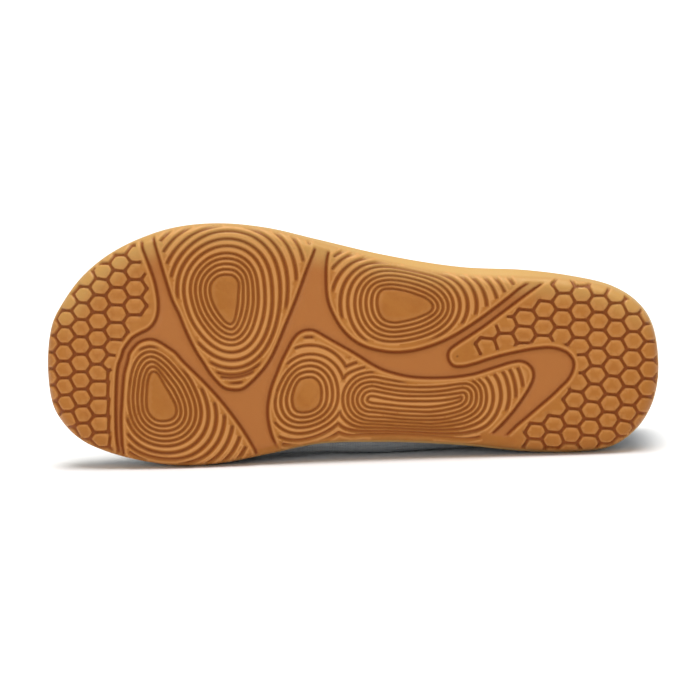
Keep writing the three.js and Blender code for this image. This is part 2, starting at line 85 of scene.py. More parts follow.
# Borders of the six pads, and the corners in mm that close them outside the sole.
PADS = {
    "toe": {
        "line": [(141, 247), (145, 258), (150, 271), (154, 283), (156.5, 295), (157.5, 305), (156.5, 315), (153, 323), (148, 328), (140, 332), (132, 337), (127, 343), (123, 349), (120.5, 357), (117.5, 365), (116, 375), (115.5, 385), (115, 400), (115, 420), (115.5, 435), (116.5, 445), (117, 450)],
        "ends": [(237.6, 58), (248.2, -44)],
        "close": [(248.2, -62), (300, -62), (300, 75), (238, 75)],
    },
    "ball": {
        "line": [(155, 237), (157, 245), (160, 255), (163.5, 267), (168.7, 284), (174, 300), (180.7, 313.7), (186, 327), (192.7, 341.7), (199.3, 353.7), (204.7, 361.7), (211.3, 372.3), (218, 380.3), (224.7, 386.3), (232.7, 388.3), (242, 387.7), (248.7, 383), (258, 373.7), (264.7, 365.7), (271.3, 355), (278, 340.3), (283.3, 327), (290, 311), (295.3, 297.7), (300.7, 283), (306, 268.3), (311.3, 255), (314.7, 244.3)],
        "ends": [(231.5, 60), (156.5, 60)],
        "close": [(156.5, 80), (230.5, 80)],
    },
    "inner_ball": {
        "line": [(125, 453), (124, 445), (123.5, 435), (123, 420), (124, 400), (125, 385), (126, 375), (128, 367), (130, 360), (131, 355), (135, 349), (140, 344), (146, 341.5), (151, 341), (156, 342), (162, 345), (168, 349), (175, 354), (182, 362), (194, 373.8), (206, 385.8), (218, 399), (230, 414), (239.6, 427.2), (248, 440.4), (254, 451.2), (255.8, 456)],
        "ends": [(244.3, -50), (181.5, -50)],
        "close": [(181.5, -65), (244.5, -65)],
    },
    "outer_waist": {
        "line": [(330.8, 250), (328, 263.3), (327.5, 280), (329.2, 300), (335, 315), (343.3, 328.3), (353.3, 338.3), (365, 345), (380, 349.2), (393.3, 350.8), (408.3, 350), (423.3, 346.7), (440, 340.8), (455, 333.3), (468.3, 325), (481.7, 315.8), (495, 305.8), (506.7, 296.7), (516.7, 288.3), (526.7, 280.8)],
        "ends": [(148.3, 57), (50, 45)],
        "close": [(44, 62), (52, 75), (148, 75)],
    },
    "inner_waist": {
        "line": [(279.3, 448), (274.7, 438.7), (271.3, 428), (269.3, 416), (269.3, 406.7), (270.7, 397.3), (273.3, 386.7), (278, 374.7), (283.3, 361.3), (288.7, 350.7), (293.3, 342), (298.7, 335.3), (305.3, 332), (313.3, 332), (320, 335.3), (329.3, 340.7), (340, 346.7), (350.7, 352.7), (361.3, 359.3), (372, 366), (382.7, 371.3), (393.3, 374.7), (404, 377.3), (413.3, 378.7), (428, 379.5), (449.3, 379), (464, 377.3), (476, 375), (489.3, 370.7), (500, 367.3), (510.7, 364), (520, 362.7), (526.7, 365.3), (531, 370.7), (531.7, 377.3), (528.7, 385.3), (524, 393.3), (518.7, 401.3), (510.7, 412), (501.3, 422.7), (492, 432)],
        "ends": [(171, -45), (88, -44)],
        "close": [(96, -60), (172, -60)],
    },
    "heel": {
        "line": [(545, 281.7), (535, 290), (523.3, 298.3), (510, 308.3), (496.7, 318.3), (483.3, 328.3), (468.3, 338.3), (456.7, 345.8), (450, 351.7), (449.2, 358.3), (453.3, 364.2), (461.7, 365), (473.3, 362.5), (488.3, 357.5), (503.3, 353.3), (518.3, 350), (535, 347), (550, 346), (560, 348), (568, 352), (573.3, 358.7), (574.7, 365.3), (572.7, 373.3), (568, 381.3), (561.3, 388), (553.3, 396), (544, 404), (534.7, 412), (525.3, 420), (517.3, 426.7), (510.7, 433.3)],
        "ends": [(40, 46), (80, -45)],
        "close": [(72, -65), (-25, -65), (-25, 62), (30, 62)],
    },
}
# Ring grooves round a centre: mean radius, then cosine and sine of one to six turns, angles from the right downwards.
RINGS = {
    "ball": {
        "centre": (226, 298),
        "rings": [
            (17.87, -0.53, -1.26, -5.38, 1.16, -1.35, -1.09, 0.62, -0.32, 0.67, 0.4, -0.04, 0.32),
            (23.07, -0.41, -1.11, -5.47, 1.18, -1.37, -1.13, 0.61, -0.32, 0.66, 0.4, -0.04, 0.32),
            (28.31, -0.25, -0.89, -5.67, 1.26, -1.39, -1.26, 0.58, -0.34, 0.61, 0.37, -0.04, 0.31),
            (33.62, 0.01, -0.75, -5.86, 1.4, -1.39, -1.32, 0.52, -0.3, 0.53, 0.33, -0.04, 0.28),
            (39.08, 0.15, -0.62, -6.04, 1.51, -1.4, -1.29, 0.44, -0.25, 0.44, 0.28, -0.05, 0.24),
            (46.16, 0.38, -0.52, -6.26, 1.42, -1.56, -1.23, 0.34, -0.2, 0.35, 0.22, -0.04, 0.21),
            (53.58, 0.79, -0.14, -6.58, 1.44, -1.6, -1.35, 0.23, -0.18, 0.31, 0.19, -0.06, 0.18),
            (61.31, 0.99, -0.37, -6.75, 0.9, -1.65, -1.61, 0.23, -0.25, 0.32, 0.19, -0.05, 0.2),
            (68.47, 0.53, -0.78, -6.21, 0.4, -1.64, -2.1, 0.03, -0.37, 0.26, 0.23, -0.04, 0.21),
            (75.51, -0.01, -3.36, -4.87, -0.64, -1.42, -2.29, -0.07, -0.35, 0.18, 0.19, -0.05, 0.2),
            (83.37, 0.52, -5.2, -4.57, -0.81, -1.38, -2.35, -0.08, -0.38, 0.17, 0.19, -0.06, 0.2),
            (92.36, 1.91, -7.59, -4.56, -1.11, -1.43, -2.4, -0.1, -0.38, 0.16, 0.19, -0.06, 0.2),
        ],
    },
    "inner_ball": {
        "centre": (162, 398),
        "rings": [
            (17.15, -3.7, 1.66, -4.6, 3.63, 1.49, 1.03, -0.05, -1.29, -0.9, -0.18, 0.06, 0.36),
            (22.04, -3.55, 1.52, -4.68, 3.76, 1.52, 1.09, -0.05, -1.29, -0.9, -0.17, 0.06, 0.36),
            (26.99, -3.22, 1.01, -4.97, 3.96, 1.58, 1.31, -0.04, -1.22, -0.86, -0.18, 0.06, 0.35),
            (32.06, -2.94, 0.63, -5.3, 4.18, 1.61, 1.44, -0.03, -1.13, -0.8, -0.17, 0.06, 0.32),
            (37.06, -2.24, 0.57, -5.74, 4.21, 1.59, 1.65, -0, -1.1, -0.75, -0.14, 0.07, 0.3),
            (42.65, -1.25, 1.67, -5.63, 4.44, 1.69, 1.77, 0.01, -1.05, -0.75, -0.14, 0.08, 0.29),
            (48.59, -0.39, 2.96, -5.38, 4.65, 1.73, 1.94, -0.04, -1.01, -0.76, -0.15, 0.09, 0.29),
            (54.99, 0.54, 3.9, -4.9, 4.94, 1.68, 2.25, -0.19, -0.98, -0.79, -0.21, 0.1, 0.27),
            (61.51, 2.04, 4.04, -4.52, 5.07, 1.72, 2.36, -0.21, -0.93, -0.82, -0.2, 0.09, 0.26),
            (68.52, 3.62, 4.46, -4.41, 5.19, 1.73, 2.39, -0.22, -0.92, -0.82, -0.2, 0.08, 0.26),
            (75.88, 5.66, 4.27, -4.06, 5.22, 1.81, 2.45, -0.2, -0.88, -0.83, -0.18, 0.07, 0.27),
            (83.54, 7.35, 4.38, -4, 5.29, 1.81, 2.47, -0.21, -0.88, -0.83, -0.18, 0.07, 0.27),
        ],
    },
    "outer_waist": {
        "centre": (404, 305),
        "rings": [
            (20.11, -2.29, 0.05, 5.71, 0.17, 1.31, -0.14, 0.42, 0.39, 0.72, -0.03, 0, 0.09),
            (25.52, -2.28, 0.27, 6.05, 0.26, 1.39, -0.14, 0.39, 0.39, 0.7, -0.03, 0, 0.08),
            (30.83, -2.19, 0.61, 6.38, 0.4, 1.49, -0.14, 0.34, 0.36, 0.65, -0.04, 0, 0.07),
            (36.04, -2.21, 1.07, 6.84, 0.51, 1.67, -0.24, 0.29, 0.32, 0.59, -0.09, -0, 0.05),
            (41.37, -2.44, 1.61, 7.52, 0.63, 1.8, -0.24, 0.21, 0.26, 0.52, -0.11, -0.02, 0.02),
            (47.23, -2.82, 2.35, 8.52, 0.78, 1.99, -0.59, 0.19, 0.16, 0.52, -0.16, -0.03, -0.02),
            (53.65, -3.03, 3.73, 9.68, 0.85, 2.31, -0.9, 0.2, 0, 0.53, -0.2, -0.03, -0.07),
            (61.57, -3.18, 5.02, 10.88, 0.83, 2.37, -1.24, 0.18, -0.01, 0.57, -0.24, -0.04, -0.1),
            (70.51, -3.75, 8.04, 11.89, 2.1, 2.84, -1.22, 0.29, -0.06, 0.62, -0.27, -0.03, -0.14),
            (79.89, -2.87, 11.33, 12.5, 2.62, 3.04, -1.14, 0.38, -0.05, 0.66, -0.28, -0.01, -0.15),
            (88.52, -2.15, 14.95, 12.99, 3.16, 3.23, -1.02, 0.47, -0.03, 0.71, -0.28, 0.02, -0.16),
            (98.14, -0.11, 16.49, 13.33, 3.03, 3.28, -1.06, 0.48, -0.05, 0.71, -0.29, 0.02, -0.17),
        ],
    },
    "waist_left": {
        "centre": (307, 396),
        "rings": [
            (15.51, -0.48, -0.91, -1.13, -1.41, 0.07, 0.85, -0.22, 0.03, -0.04, 0.03, 0.01, 0.05),
            (20.68, -0.5, -0.99, -1.04, -1.56, 0.08, 0.84, -0.23, 0.02, -0.04, 0.03, 0.01, 0.05),
            (26.29, -0.53, -0.86, -0.84, -1.89, 0.3, 0.97, -0.18, 0.04, -0.01, 0.02, 0, 0.05),
            (32.38, -0.05, -1.14, -1.14, -2.35, 0.15, 1.14, -0.21, 0.11, -0.02, 0.02, -0.01, 0.04),
            (38.5, 0.19, -1.39, -0.97, -2.95, 0.25, 1, -0.21, 0.11, -0.05, 0.03, -0.02, 0.05),
            (46.15, -0.95, -2.37, -1.12, -3.27, 0.36, 1.12, -0.22, 0.13, -0.06, 0, -0.02, 0.05),
            (53.74, -0.49, -3.25, -1.02, -2.92, 0.24, 1.18, -0.25, 0.08, -0.03, -0.02, -0.01, 0.06),
        ],
    },
}

# Long loops of the inner waist: x ends of the straight part, radii of the left cap about (372, 400) from straight down
# (90) round the left to straight up (270), heights of the upper lines, radii of the right cap about (460, 397.5) from
# straight up (-90) to straight down (90), and heights of the lower lines.
LOOP_LEFT = (90, 105, 120, 135, 150, 165, 180, 195, 210, 225, 240, 270)
LOOP_MID = (386, 400, 415, 430, 445)
LOOP_RIGHT = (-90, -60, -45, -25, 0, 25, 45, 60, 75, 90)
LOOPS = [
    {"left": (2.9, 2.8, 2.8, 3.1, 3.8, 4.4, 4.8, 4.7, 4.7, 4.5, 4.2, 3.9), "upper": (398.7, 400.6, 401.1, 401.1, 400.1), "right": (0.5, 1.0, 1.3, 1.5, 1.6, 1.8, 2.0, 2.3, 2.8, 3.4), "lower": (404.5, 406, 407, 407, 405.1)},
    {"left": (7.9, 7.8, 8.1, 8.7, 9.3, 9.7, 9.9, 9.8, 9.7, 9.6, 9.3, 9.0), "upper": (393.3, 395.5, 396.1, 396.0, 395.0), "right": (4.6, 5.7, 6.2, 6.5, 6.3, 6.4, 6.6, 6.9, 7.4, 8.4), "lower": (409.4, 410.8, 411.5, 411.9, 410.0)},
    {"left": (12.0, 12.3, 12.8, 13.5, 14.2, 14.6, 14.9, 14.8, 14.5, 14.3, 14.1, 13.9), "upper": (388.9, 391.0, 391.9, 391.9, 390.6), "right": (9.5, 10.8, 11.3, 11.6, 11.2, 11.3, 11.5, 11.7, 12.1, 13.4), "lower": (413.5, 415, 415.9, 416, 414.8)},
    {"left": (16.9, 17.0, 17.5, 18.4, 19.0, 19.3, 19.4, 19.5, 19.4, 19.2, 18.9, 18.1), "upper": (384.2, 386.2, 387.1, 387.0, 386.0), "right": (13.6, 15.6, 16.3, 16.6, 16.1, 16.3, 16.4, 16.3, 16.6, 17.6), "lower": (417.5, 419, 419.8, 420, 419.0)},
    {"left": (20.9, 21.0, 21.8, 22.9, 23.7, 24.1, 24.2, 24.4, 24.3, 24.1, 23.7, 23.1), "upper": (379.2, 381.6, 382.6, 382.3, 381.2), "right": (18.5, 20.3, 21.0, 21.5, 21.0, 21.3, 20.9, 20.8, 21.1, 22.4), "lower": (421.5, 422.3, 423.1, 423.9, 422.6)},
    {"left": (24.1, 24.8, 26.1, 27.7, 28.6, 29.1, 29.2, 29.4, 29.2, 28.9, 28.6, 27.9), "upper": (374.6, 377.0, 378.0, 377.8, 376.8), "right": (23.5, 25.3, 25.8, 26.6, 26.2, 26.4, 25.9, 25.4, 25.7, 26.5), "lower": (425, 426, 426.6, 427.1, 426.5)},
    {"left": (28.0, 28.8, 30.7, 32.8, 34.2, 34.6, 34.8, 35.0, 35.2, 35.8, 34.3, 34.0), "upper": (368.6, 371.0, 372.0, 371.8, 370.8), "right": (29.5, 31.6, 32.4, 33.0, 32.9, 32.6, 31.7, 30.8, 30.5, 31.4), "lower": (428.4, 429, 429.7, 430.2, 430.2)},
    {"left": (32.0, 32.9, 35.7, 39.6, 41.6, 42.0, 42.2, 42.4, 42.6, 42.8, 41.2, 41.0), "upper": (361, 363, 364, 364, 363), "right": (37, 39.6, 40.6, 41.3, 40.6, 39.5, 38.5, 37.2, 36.1, 36.4), "lower": (432.0, 432.4, 433.2, 434.0, 434.4)},
    {"left": (35.4, 36.8, 42.0, 46.5, 49, 49.6, 50, 50, 50, 50, 48.4, 48), "upper": (354, 356, 357, 357, 356), "right": (45, 48, 48.8, 49.5, 48.7, 47.2, 46.4, 45, 43.4, 42.4), "lower": (435.2, 435.6, 436.4, 437.4, 438.4)},
    {"left": (39.5, 41.5, 48.5, 53, 56, 56.6, 57, 57, 57, 57, 55.4, 55), "upper": (347, 349, 350, 350, 349), "right": (52, 55, 56, 56.6, 55.5, 54.5, 54, 53, 51, 49), "lower": (439.5, 440, 441, 442, 444)},
    {"left": (45, 47, 55, 60, 63, 64, 64, 64, 64, 64, 62.4, 62), "upper": (340, 342, 343, 343, 342), "right": (60, 63, 64, 64.4, 63, 62, 62, 61, 59, 56), "lower": (444, 445, 446, 448, 450)},
]
# Centres of the hexagons, column by column.
TOE_HEX = [
    [(136, 254), (136, 271), (136, 288.5), (136, 306.5), (136, 323.5)],
    [(121, 263), (118.5, 279), (117.5, 296.5), (116.5, 314), (116, 331.5), (115, 348), (112, 363)],
    [(103.5, 272), (100.5, 287), (99, 304), (98.5, 321.5), (98.5, 339), (98.5, 356), (99, 373), (99, 390), (99.5, 407), (100, 425), (101, 440)],
    [(86, 279), (84, 295), (82, 311.5), (81, 328.5), (80.5, 346), (80.5, 363.5), (80.5, 381), (81.5, 398), (83, 415), (84, 432)],
    [(68, 303), (66.5, 319), (65.5, 336), (64.5, 353.5), (64.5, 370), (65.3, 387), (66.8, 404), (68, 420)],
    [(50.5, 311), (49.5, 327.5), (48, 344.5), (47.2, 361.5), (47.4, 378), (49, 394.5), (51, 411)],
]
HEEL_HEX = [
    [(666.5, 323.5), (667, 341.5), (667, 360), (666, 378.5), (664, 397), (661, 414), (657, 431)],
    [(649, 315), (649.7, 332.3), (649.5, 350.6), (648.8, 369.5), (647, 388), (644.8, 405.6), (641.5, 422)],
    [(632.5, 305.8), (633.3, 322), (632.7, 341.3), (631.3, 358.7), (630, 377.3), (628.7, 396), (626.7, 414), (622.7, 428)],
    [(614.7, 294.7), (616, 311.3), (615.3, 329.3), (614.7, 348), (613.3, 366.7), (611.3, 385.3), (609.3, 403.3), (608, 420.7), (606.7, 436)],
    [(598.7, 288), (598.7, 303.3), (598, 321.3), (597.3, 338.7), (596, 357.3), (594.7, 374.7), (593.3, 393.3), (590.7, 410), (589.3, 428), (588, 442.7)],
    [(580.7, 277.5), (581.3, 294), (580.7, 311.3), (580, 328.7), (578.7, 346.7), (580, 362.7), (577.3, 382.7), (574, 400), (572, 417.3), (570.7, 434.7)],
    [(562.7, 285.3), (562.7, 301.3), (561.3, 318.7), (560.7, 336), (560, 353), (559, 371), (558, 390), (556, 408), (553.3, 424), (552, 440)],
    [(546.7, 292.7), (544, 310), (543.3, 327), (542.5, 344), (541, 362)],
    [(536.8, 415.8), (535.3, 431.3), (534, 447)],
    [(527, 301.5), (525, 318.3), (523.3, 334.5), (523, 351.5)],
    [(506, 308), (505, 325), (505, 341.7), (504.5, 359)],
    [(488, 330), (485.8, 346.7), (486, 364)],
    [(469, 335), (470, 352.5), (469, 370)],
    [(519, 424), (517, 440)],
]
VENT = (457, 356.5)

# cells beyond the edge of the sole, which close the outermost ones
TOE_GHOSTS = [[(136, 236), (152, 245), (86.5, 262), (69, 286), (32, 320), (31, 336), (30, 353), (30, 370), (30.5, 386.5), (32.5, 403), (35, 420), (53, 428)]]
HEEL_GHOSTS = [
    [(546, 275.5), (563, 268), (581, 260), (598.5, 271), (614.5, 277.5), (632, 289), (649, 297.5), (666, 306)],
    [(638, 439), (621, 446), (605.5, 453), (587, 460), (569.5, 452.5), (551, 457), (533, 463), (516, 456)],
]
# the groove round each smooth core, and the first ring whose fitted form is used as it is
CORES = {
    "ball": [(227.1, 274.9), (232.8, 275.6), (236.5, 278.4), (238.9, 282.7), (239.2, 288.3), (238.6, 295.9), (238.2, 302.5), (237.2, 310), (235.8, 316.7), (234.2, 321.4), (231.4, 324.2), (228, 323.3), (224.3, 320.4), (220.5, 315.7), (216.7, 310), (213.4, 303.4), (211.2, 296.8), (210.4, 290.2), (211.2, 284.6), (213.9, 280.3), (218.6, 276.5), (223.3, 275.1)],
    "inner_ball": [(153.7, 371.7), (156.4, 372.3), (159.1, 374.8), (161.8, 379.4), (165.3, 385.7), (169.2, 391.9), (172.7, 398.1), (175.4, 403.5), (177, 409), (176.6, 413.7), (173.9, 417.9), (170, 420), (164.5, 421), (159.1, 420.7), (154.4, 418.7), (150.1, 414.4), (147.8, 409.8), (147, 403.5), (147, 397.3), (147.4, 391.1), (147.8, 384.9), (148.9, 378.7), (150.9, 373.6)],
    "outer_waist": [(383.2, 289.6), (389.4, 288.9), (395.6, 289.2), (402.7, 290.5), (409.8, 292.3), (416.9, 294.8), (423.2, 297.2), (428.5, 300.3), (432, 304.3), (432.5, 308.3), (429.4, 312.3), (423.2, 315.4), (416.9, 318), (409.8, 320), (402.7, 321.6), (395.6, 322.7), (389.4, 322), (384.1, 319.8), (380.1, 315.4), (377.9, 310), (377, 303.8), (377.4, 297.6), (379.2, 292.7)],
    "waist_left": [(309.3, 377.3), (313.3, 377.7), (316.9, 379.9), (319.8, 383.8), (321.2, 388.2), (321.6, 393.9), (321.2, 399.7), (319.8, 404), (316.9, 407.7), (312.6, 410.5), (307.5, 412), (302.5, 412.3), (297.4, 411.3), (294.2, 408.4), (292.7, 403.3), (292.3, 399), (293.1, 393.9), (294.5, 388.9), (296.7, 383.8), (299.9, 379.9), (304.3, 378.1)],
}
WHOLE_FROM = {"ball": 4, "inner_ball": 5, "outer_waist": 4, "waist_left": 3}

# ------------------------------------------------------------------ helpers
def column(key, value, at):
    """Smooth interpolation of one column of a table."""
    k, v = np.asarray(key, float), np.asarray(value, float)
    at = np.clip(np.asarray(at, float), k[0], k[-1])
    h = np.diff(k)
    d = np.diff(v) / h
    s = np.empty(len(k))
    s[0], s[-1] = d[0], d[-1]
    s[1:-1] = (d[:-1] * h[1:] + d[1:] * h[:-1]) / (h[:-1] + h[1:])
    i = np.clip(np.searchsorted(k, at, side="right") - 1, 0, len(k) - 2)
    w = k[i + 1] - k[i]
    t = (at - k[i]) / w
    t2, t3 = t * t, t * t * t
    return (2 * t3 - 3 * t2 + 1) * v[i] + (t3 - 2 * t2 + t) * w * s[i] + (3 * t2 - 2 * t3) * v[i + 1] + (t3 - t2) * w * s[i + 1]


def angle_of(x):
    return np.arccos(1 - 2 * np.clip(np.asarray(x, float), 0, LENGTH) / LENGTH)


def smoothstep(a, b, x):
    t = np.clip((np.asarray(x, float) - a) / (b - a), 0, 1)
    return t * t * (3 - 2 * t)


def stations(n):
    """The loop of n stations from the heel along the inner side to the toe and back along the outer side."""
    i = np.arange(n)
    half = n // 2
    phi = np.pi * np.where(i <= half, i, n - i) / half
    inner = i <= half
    table = lambda rows, a, b: np.where(inner, column(angle_of([r[0] for r in rows]), [r[a] for r in rows], phi), column(angle_of([r[0] for r in rows]), [r[b] for r in rows], phi))
    x = LENGTH / 2 * (1 - np.cos(phi))
    y = table(OUTLINE, 1, 2) * np.where(inner, -1, 1)
    p = np.stack([x, y], 1)
    a, b = np.roll(p, 1, 0), np.roll(p, -1, 0)
    out = np.stack([b[:, 1] - a[:, 1], a[:, 0] - b[:, 0]], 1)
    out /= np.linalg.norm(out, axis=1)[:, None]
    s = {"p": p, "out": out, "phi": phi, "sign": np.where(inner, -1.0, 1.0)}
    s["run"], s["rise"], s["flare"], s["rim"] = (table(EDGE, 1 + k, 5 + k) for k in range(4))
    s["lean"], s["lift"] = table(WALL, 2, 4), table(WALL, 3, 5)
    s["t"] = table(WALL, 1, 1)
    step = np.linalg.norm(np.roll(p, -1, 0) - p, axis=1)
    s["arc"] = np.concatenate([[0], np.cumsum(step)[:-1]])
    s["round"] = float(step.sum())
    return s


def at_inset(s, d, z):
    q = s["p"] - s["out"] * np.broadcast_to(d, (len(s["p"]),))[:, None]
    return np.column_stack([q, np.broadcast_to(z, (len(q),))])


def spring(x):
    x = np.asarray(x, float)
    return SPRING_RISE * (np.clip(x - SPRING_FROM, 0, None) / (LENGTH - SPRING_FROM)) ** SPRING_POWER + ROLL_RISE * (np.clip(ROLL_TO - x, 0, None) / ROLL_TO) ** 2


def place(p):
    """Shoe frame in mm to the row frame in metres, with the toe spring."""
    q = np.array(p, float)
    q[:, 2] += spring(q[:, 0])
    return (q @ PLACED[:, :3].T + PLACED[:, 3]) / 1000


def catmull(points, closed=False, per=12):
    """A centripetal spline through the points."""
    p = np.asarray(points, float)
    if closed:
        p = np.vstack([p[-1], p, p[0], p[1]])
    else:
        p = np.vstack([2 * p[0] - p[1], p, 2 * p[-1] - p[-2]])
    out = []
    u = np.linspace(0, 1, per, endpoint=False)[:, None]
    for a, b, c, d in zip(p[:-3], p[1:-2], p[2:-1], p[3:]):
        t1 = max(np.linalg.norm(b - a) ** 0.5, 1e-6)
        t2 = t1 + max(np.linalg.norm(c - b) ** 0.5, 1e-6)
        t3 = t2 + max(np.linalg.norm(d - c) ** 0.5, 1e-6)
        t = t1 + (t2 - t1) * u
        q1 = (t1 - t) / t1 * a + t / t1 * b
        q2 = (t2 - t) / (t2 - t1) * b + (t - t1) / (t2 - t1) * c
        q3 = (t3 - t) / (t3 - t2) * c + (t - t2) / (t3 - t2) * d
        r1 = (t2 - t) / t2 * q1 + t / t2 * q2
        r2 = (t3 - t) / (t3 - t1) * q2 + (t - t1) / (t3 - t1) * q3
        out.append((t2 - t) / (t2 - t1) * r1 + (t - t1) / (t2 - t1) * r2)
    out = np.vstack(out)
    return out if closed else np.vstack([out, p[-2]])


def resample(p, step, closed=False):
    """Points at even steps along a line, with the line's unit tangent at each."""
    if closed:
        p = np.vstack([p, p[0]])
    seg = np.linalg.norm(np.diff(p, axis=0), axis=1)
    keep = np.concatenate([[True], seg > 1e-9])
    p = p[keep]
    seg = np.linalg.norm(np.diff(p, axis=0), axis=1)
    s = np.concatenate([[0], np.cumsum(seg)])
    n = max(3, int(round(s[-1] / step)) + 1)
    u = np.linspace(0, s[-1], n)
    if closed:
        u = u[:-1]
    q = np.stack([np.interp(u, s, p[:, k]) for k in (0, 1)], 1)
    if closed:
        t = np.roll(q, -1, 0) - np.roll(q, 1, 0)
    else:
        t = np.gradient(q, axis=0)
    t /= np.maximum(np.linalg.norm(t, axis=1), 1e-9)[:, None]
    return q, t


trees = {}


def nearest(points, queries):
    """Index of, and distance to, the nearest of the points for each query."""
    if id(points) not in trees:
        tree = kdtree.KDTree(len(points))
        for i, (x, y) in enumerate(points):
            tree.insert((x, y, 0), i)
        tree.balance()
        trees[id(points)] = (tree, points)
    tree = trees[id(points)][0]
    index, away = np.empty(len(queries), int), np.empty(len(queries))
    for i, (x, y) in enumerate(queries):
        _, index[i], away[i] = tree.find((x, y, 0))
    return index, away


def inside(polygon, points):
    x, y = points[:, 0], points[:, 1]
    result = np.zeros(len(points), bool)
    for (x1, y1), (x2, y2) in zip(polygon, np.roll(polygon, -1, 0)):
        if y1 == y2:
            continue
        m = ((y1 > y) != (y2 > y)) & (x < (x2 - x1) * (y - y1) / (y2 - y1) + x1)
        result ^= m
    return result


def mesh_object(name, vertices, faces, attributes=None):
    mesh = bpy.data.meshes.new(name)
    v = np.asarray(vertices, np.float32)
    f = [np.asarray(x, np.int32) for x in faces if len(x)]
    sizes = np.concatenate([np.full(len(x), x.shape[1], np.int32) for x in f])
    loops = np.concatenate([x.reshape(-1) for x in f])
    mesh.vertices.add(len(v))
    mesh.vertices.foreach_set("co", v.reshape(-1))
    mesh.loops.add(len(loops))
    mesh.loops.foreach_set("vertex_index", loops)
    mesh.polygons.add(len(sizes))
    mesh.polygons.foreach_set("loop_start", np.concatenate([[0], np.cumsum(sizes)[:-1]]).astype(np.int32))
    mesh.update(calc_edges=True)
    mesh.validate()
    mesh.polygons.foreach_set("use_smooth", np.ones(len(mesh.polygons), bool))
    for key, value in (attributes or {}).items():
        value = np.asarray(value, np.float32)
        if value.ndim == 1:
            a = mesh.attributes.new(key, "FLOAT", "POINT")
            a.data.foreach_set("value", value)
        else:
            a = mesh.attributes.new(key, "FLOAT_VECTOR", "POINT")
            a.data.foreach_set("vector", value.reshape(-1))
    obj = bpy.data.objects.new(name, mesh)
    bpy.context.scene.collection.objects.link(obj)
    return obj


# ------------------------------------------------------------------ pads of the tread
for pad in PADS.values():
    run = np.vstack([pad["ends"][0], mm(pad["line"]), pad["ends"][1]])
    pad["run"], pad["tangent"] = resample(catmull(run), 0.12)
    pad["polygon"] = np.vstack([pad["run"][::4], pad["close"]])

border = np.vstack([p["run"] for p in PADS.values()])
border_tangent = np.vstack([p["tangent"] for p in PADS.values()])
border_owner = np.concatenate([np.full(len(p["run"]), k) for k, p in enumerate(PADS.values())])


def pad_distance(points):
    """Distance into the nearest pad (negative in the channels), and which pad a point lies in (-1 for none)."""
    member = np.full(len(points), -1)
    for k, pad in enumerate(PADS.values()):
        member[inside(pad["polygon"], points)] = k
    index, away = nearest(border, points)
    rel = points - border[index]
    across = np.abs(rel[:, 0] * -border_tangent[index, 1] + rel[:, 1] * border_tangent[index, 0])
    d = np.where(away < 1.0, np.minimum(across, away), away)
    return np.where(member >= 0, d, -d), member


# ------------------------------------------------------------------ rings and loops
def fitted_radius(system, k, degrees):
    c = RINGS[system]["rings"][k]
    a = np.radians(degrees)
    r = np.full(np.shape(a), float(c[0]))
    for m in range(1, 7):
        r = r + c[2 * m - 1] * np.cos(m * a) + c[2 * m] * np.sin(m * a)
    return r


def core_radius(system, degrees):
    """Radius of the groove round a pad's smooth core, from its charted points."""
    cx, cy = RINGS[system]["centre"]
    q = catmull(CORES[system], True, 12) - (cx, cy)
    a, r = np.degrees(np.arctan2(q[:, 1], q[:, 0])) % 360, np.hypot(q[:, 0], q[:, 1])
    order = np.argsort(a)
    return np.interp(np.asarray(degrees) % 360, a[order], r[order], period=360)


def ring_radius(system, k, degrees):
    """The inner rings pass evenly from the core's outline to the first fitted ring that is used as it is."""
    whole = WHOLE_FROM[system]
    if k >= whole:
        return fitted_radius(system, k, degrees)
    core = core_radius(system, degrees)
    return core + (fitted_radius(system, whole, degrees) - core) * k / whole


def ring_number(system, plan):
    """How many rings out a point of the plan lies, in fractions: 0 on the innermost ring."""
    cx, cy = RINGS[system]["centre"]
    d = plan - (cx, cy)
    radius, angle = np.hypot(d[:, 0], d[:, 1]), np.degrees(np.arctan2(d[:, 1], d[:, 0]))
    radii = np.stack([ring_radius(system, k, angle) for k in range(len(RINGS[system]["rings"]))], 1)
    number = np.full(len(plan), -1.0)
    for k in range(radii.shape[1]):
        low = radii[:, k - 1] if k else np.zeros(len(plan))
        hit = (radius >= low) & (radius < radii[:, k])
        number[hit] = k - 1 + ((radius - low) / np.maximum(radii[:, k] - low, 1e-6))[hit]
    number[radius >= radii[:, -1]] = radii.shape[1]
    return number


def left_cap_number(plan):
    """The same for the long loops, about their left cap."""
    d = plan - (372, 400)
    radius, angle = np.hypot(d[:, 0], d[:, 1]), np.degrees(np.arctan2(d[:, 1], d[:, 0])) % 360
    number = np.full(len(plan), -1.0)
    low = np.zeros(len(plan))
    for k, row in enumerate(LOOPS):
        r = np.interp(angle, LOOP_LEFT, row["left"])
        hit = (radius >= low) & (radius < r)
        number[hit] = k - 1 + ((radius - low) / np.maximum(r - low, 1e-6))[hit]
        low = r
    number[radius >= low] = len(LOOPS)
    return number


grooves = []  # line in mm, half width, depth, distance inside the pad's border at which it ends, pad


def add_groove(plan, closed, half, depth, rim, pad):
    q, t = resample(mm(plan), 0.15, closed)
    if closed:
        q, t = np.vstack([q, q[:1]]), np.vstack([t, t[:1]])
    grooves.append({"q": q, "t": t, "half": half, "depth": depth, "rim": rim, "pad": list(PADS).index(pad)})


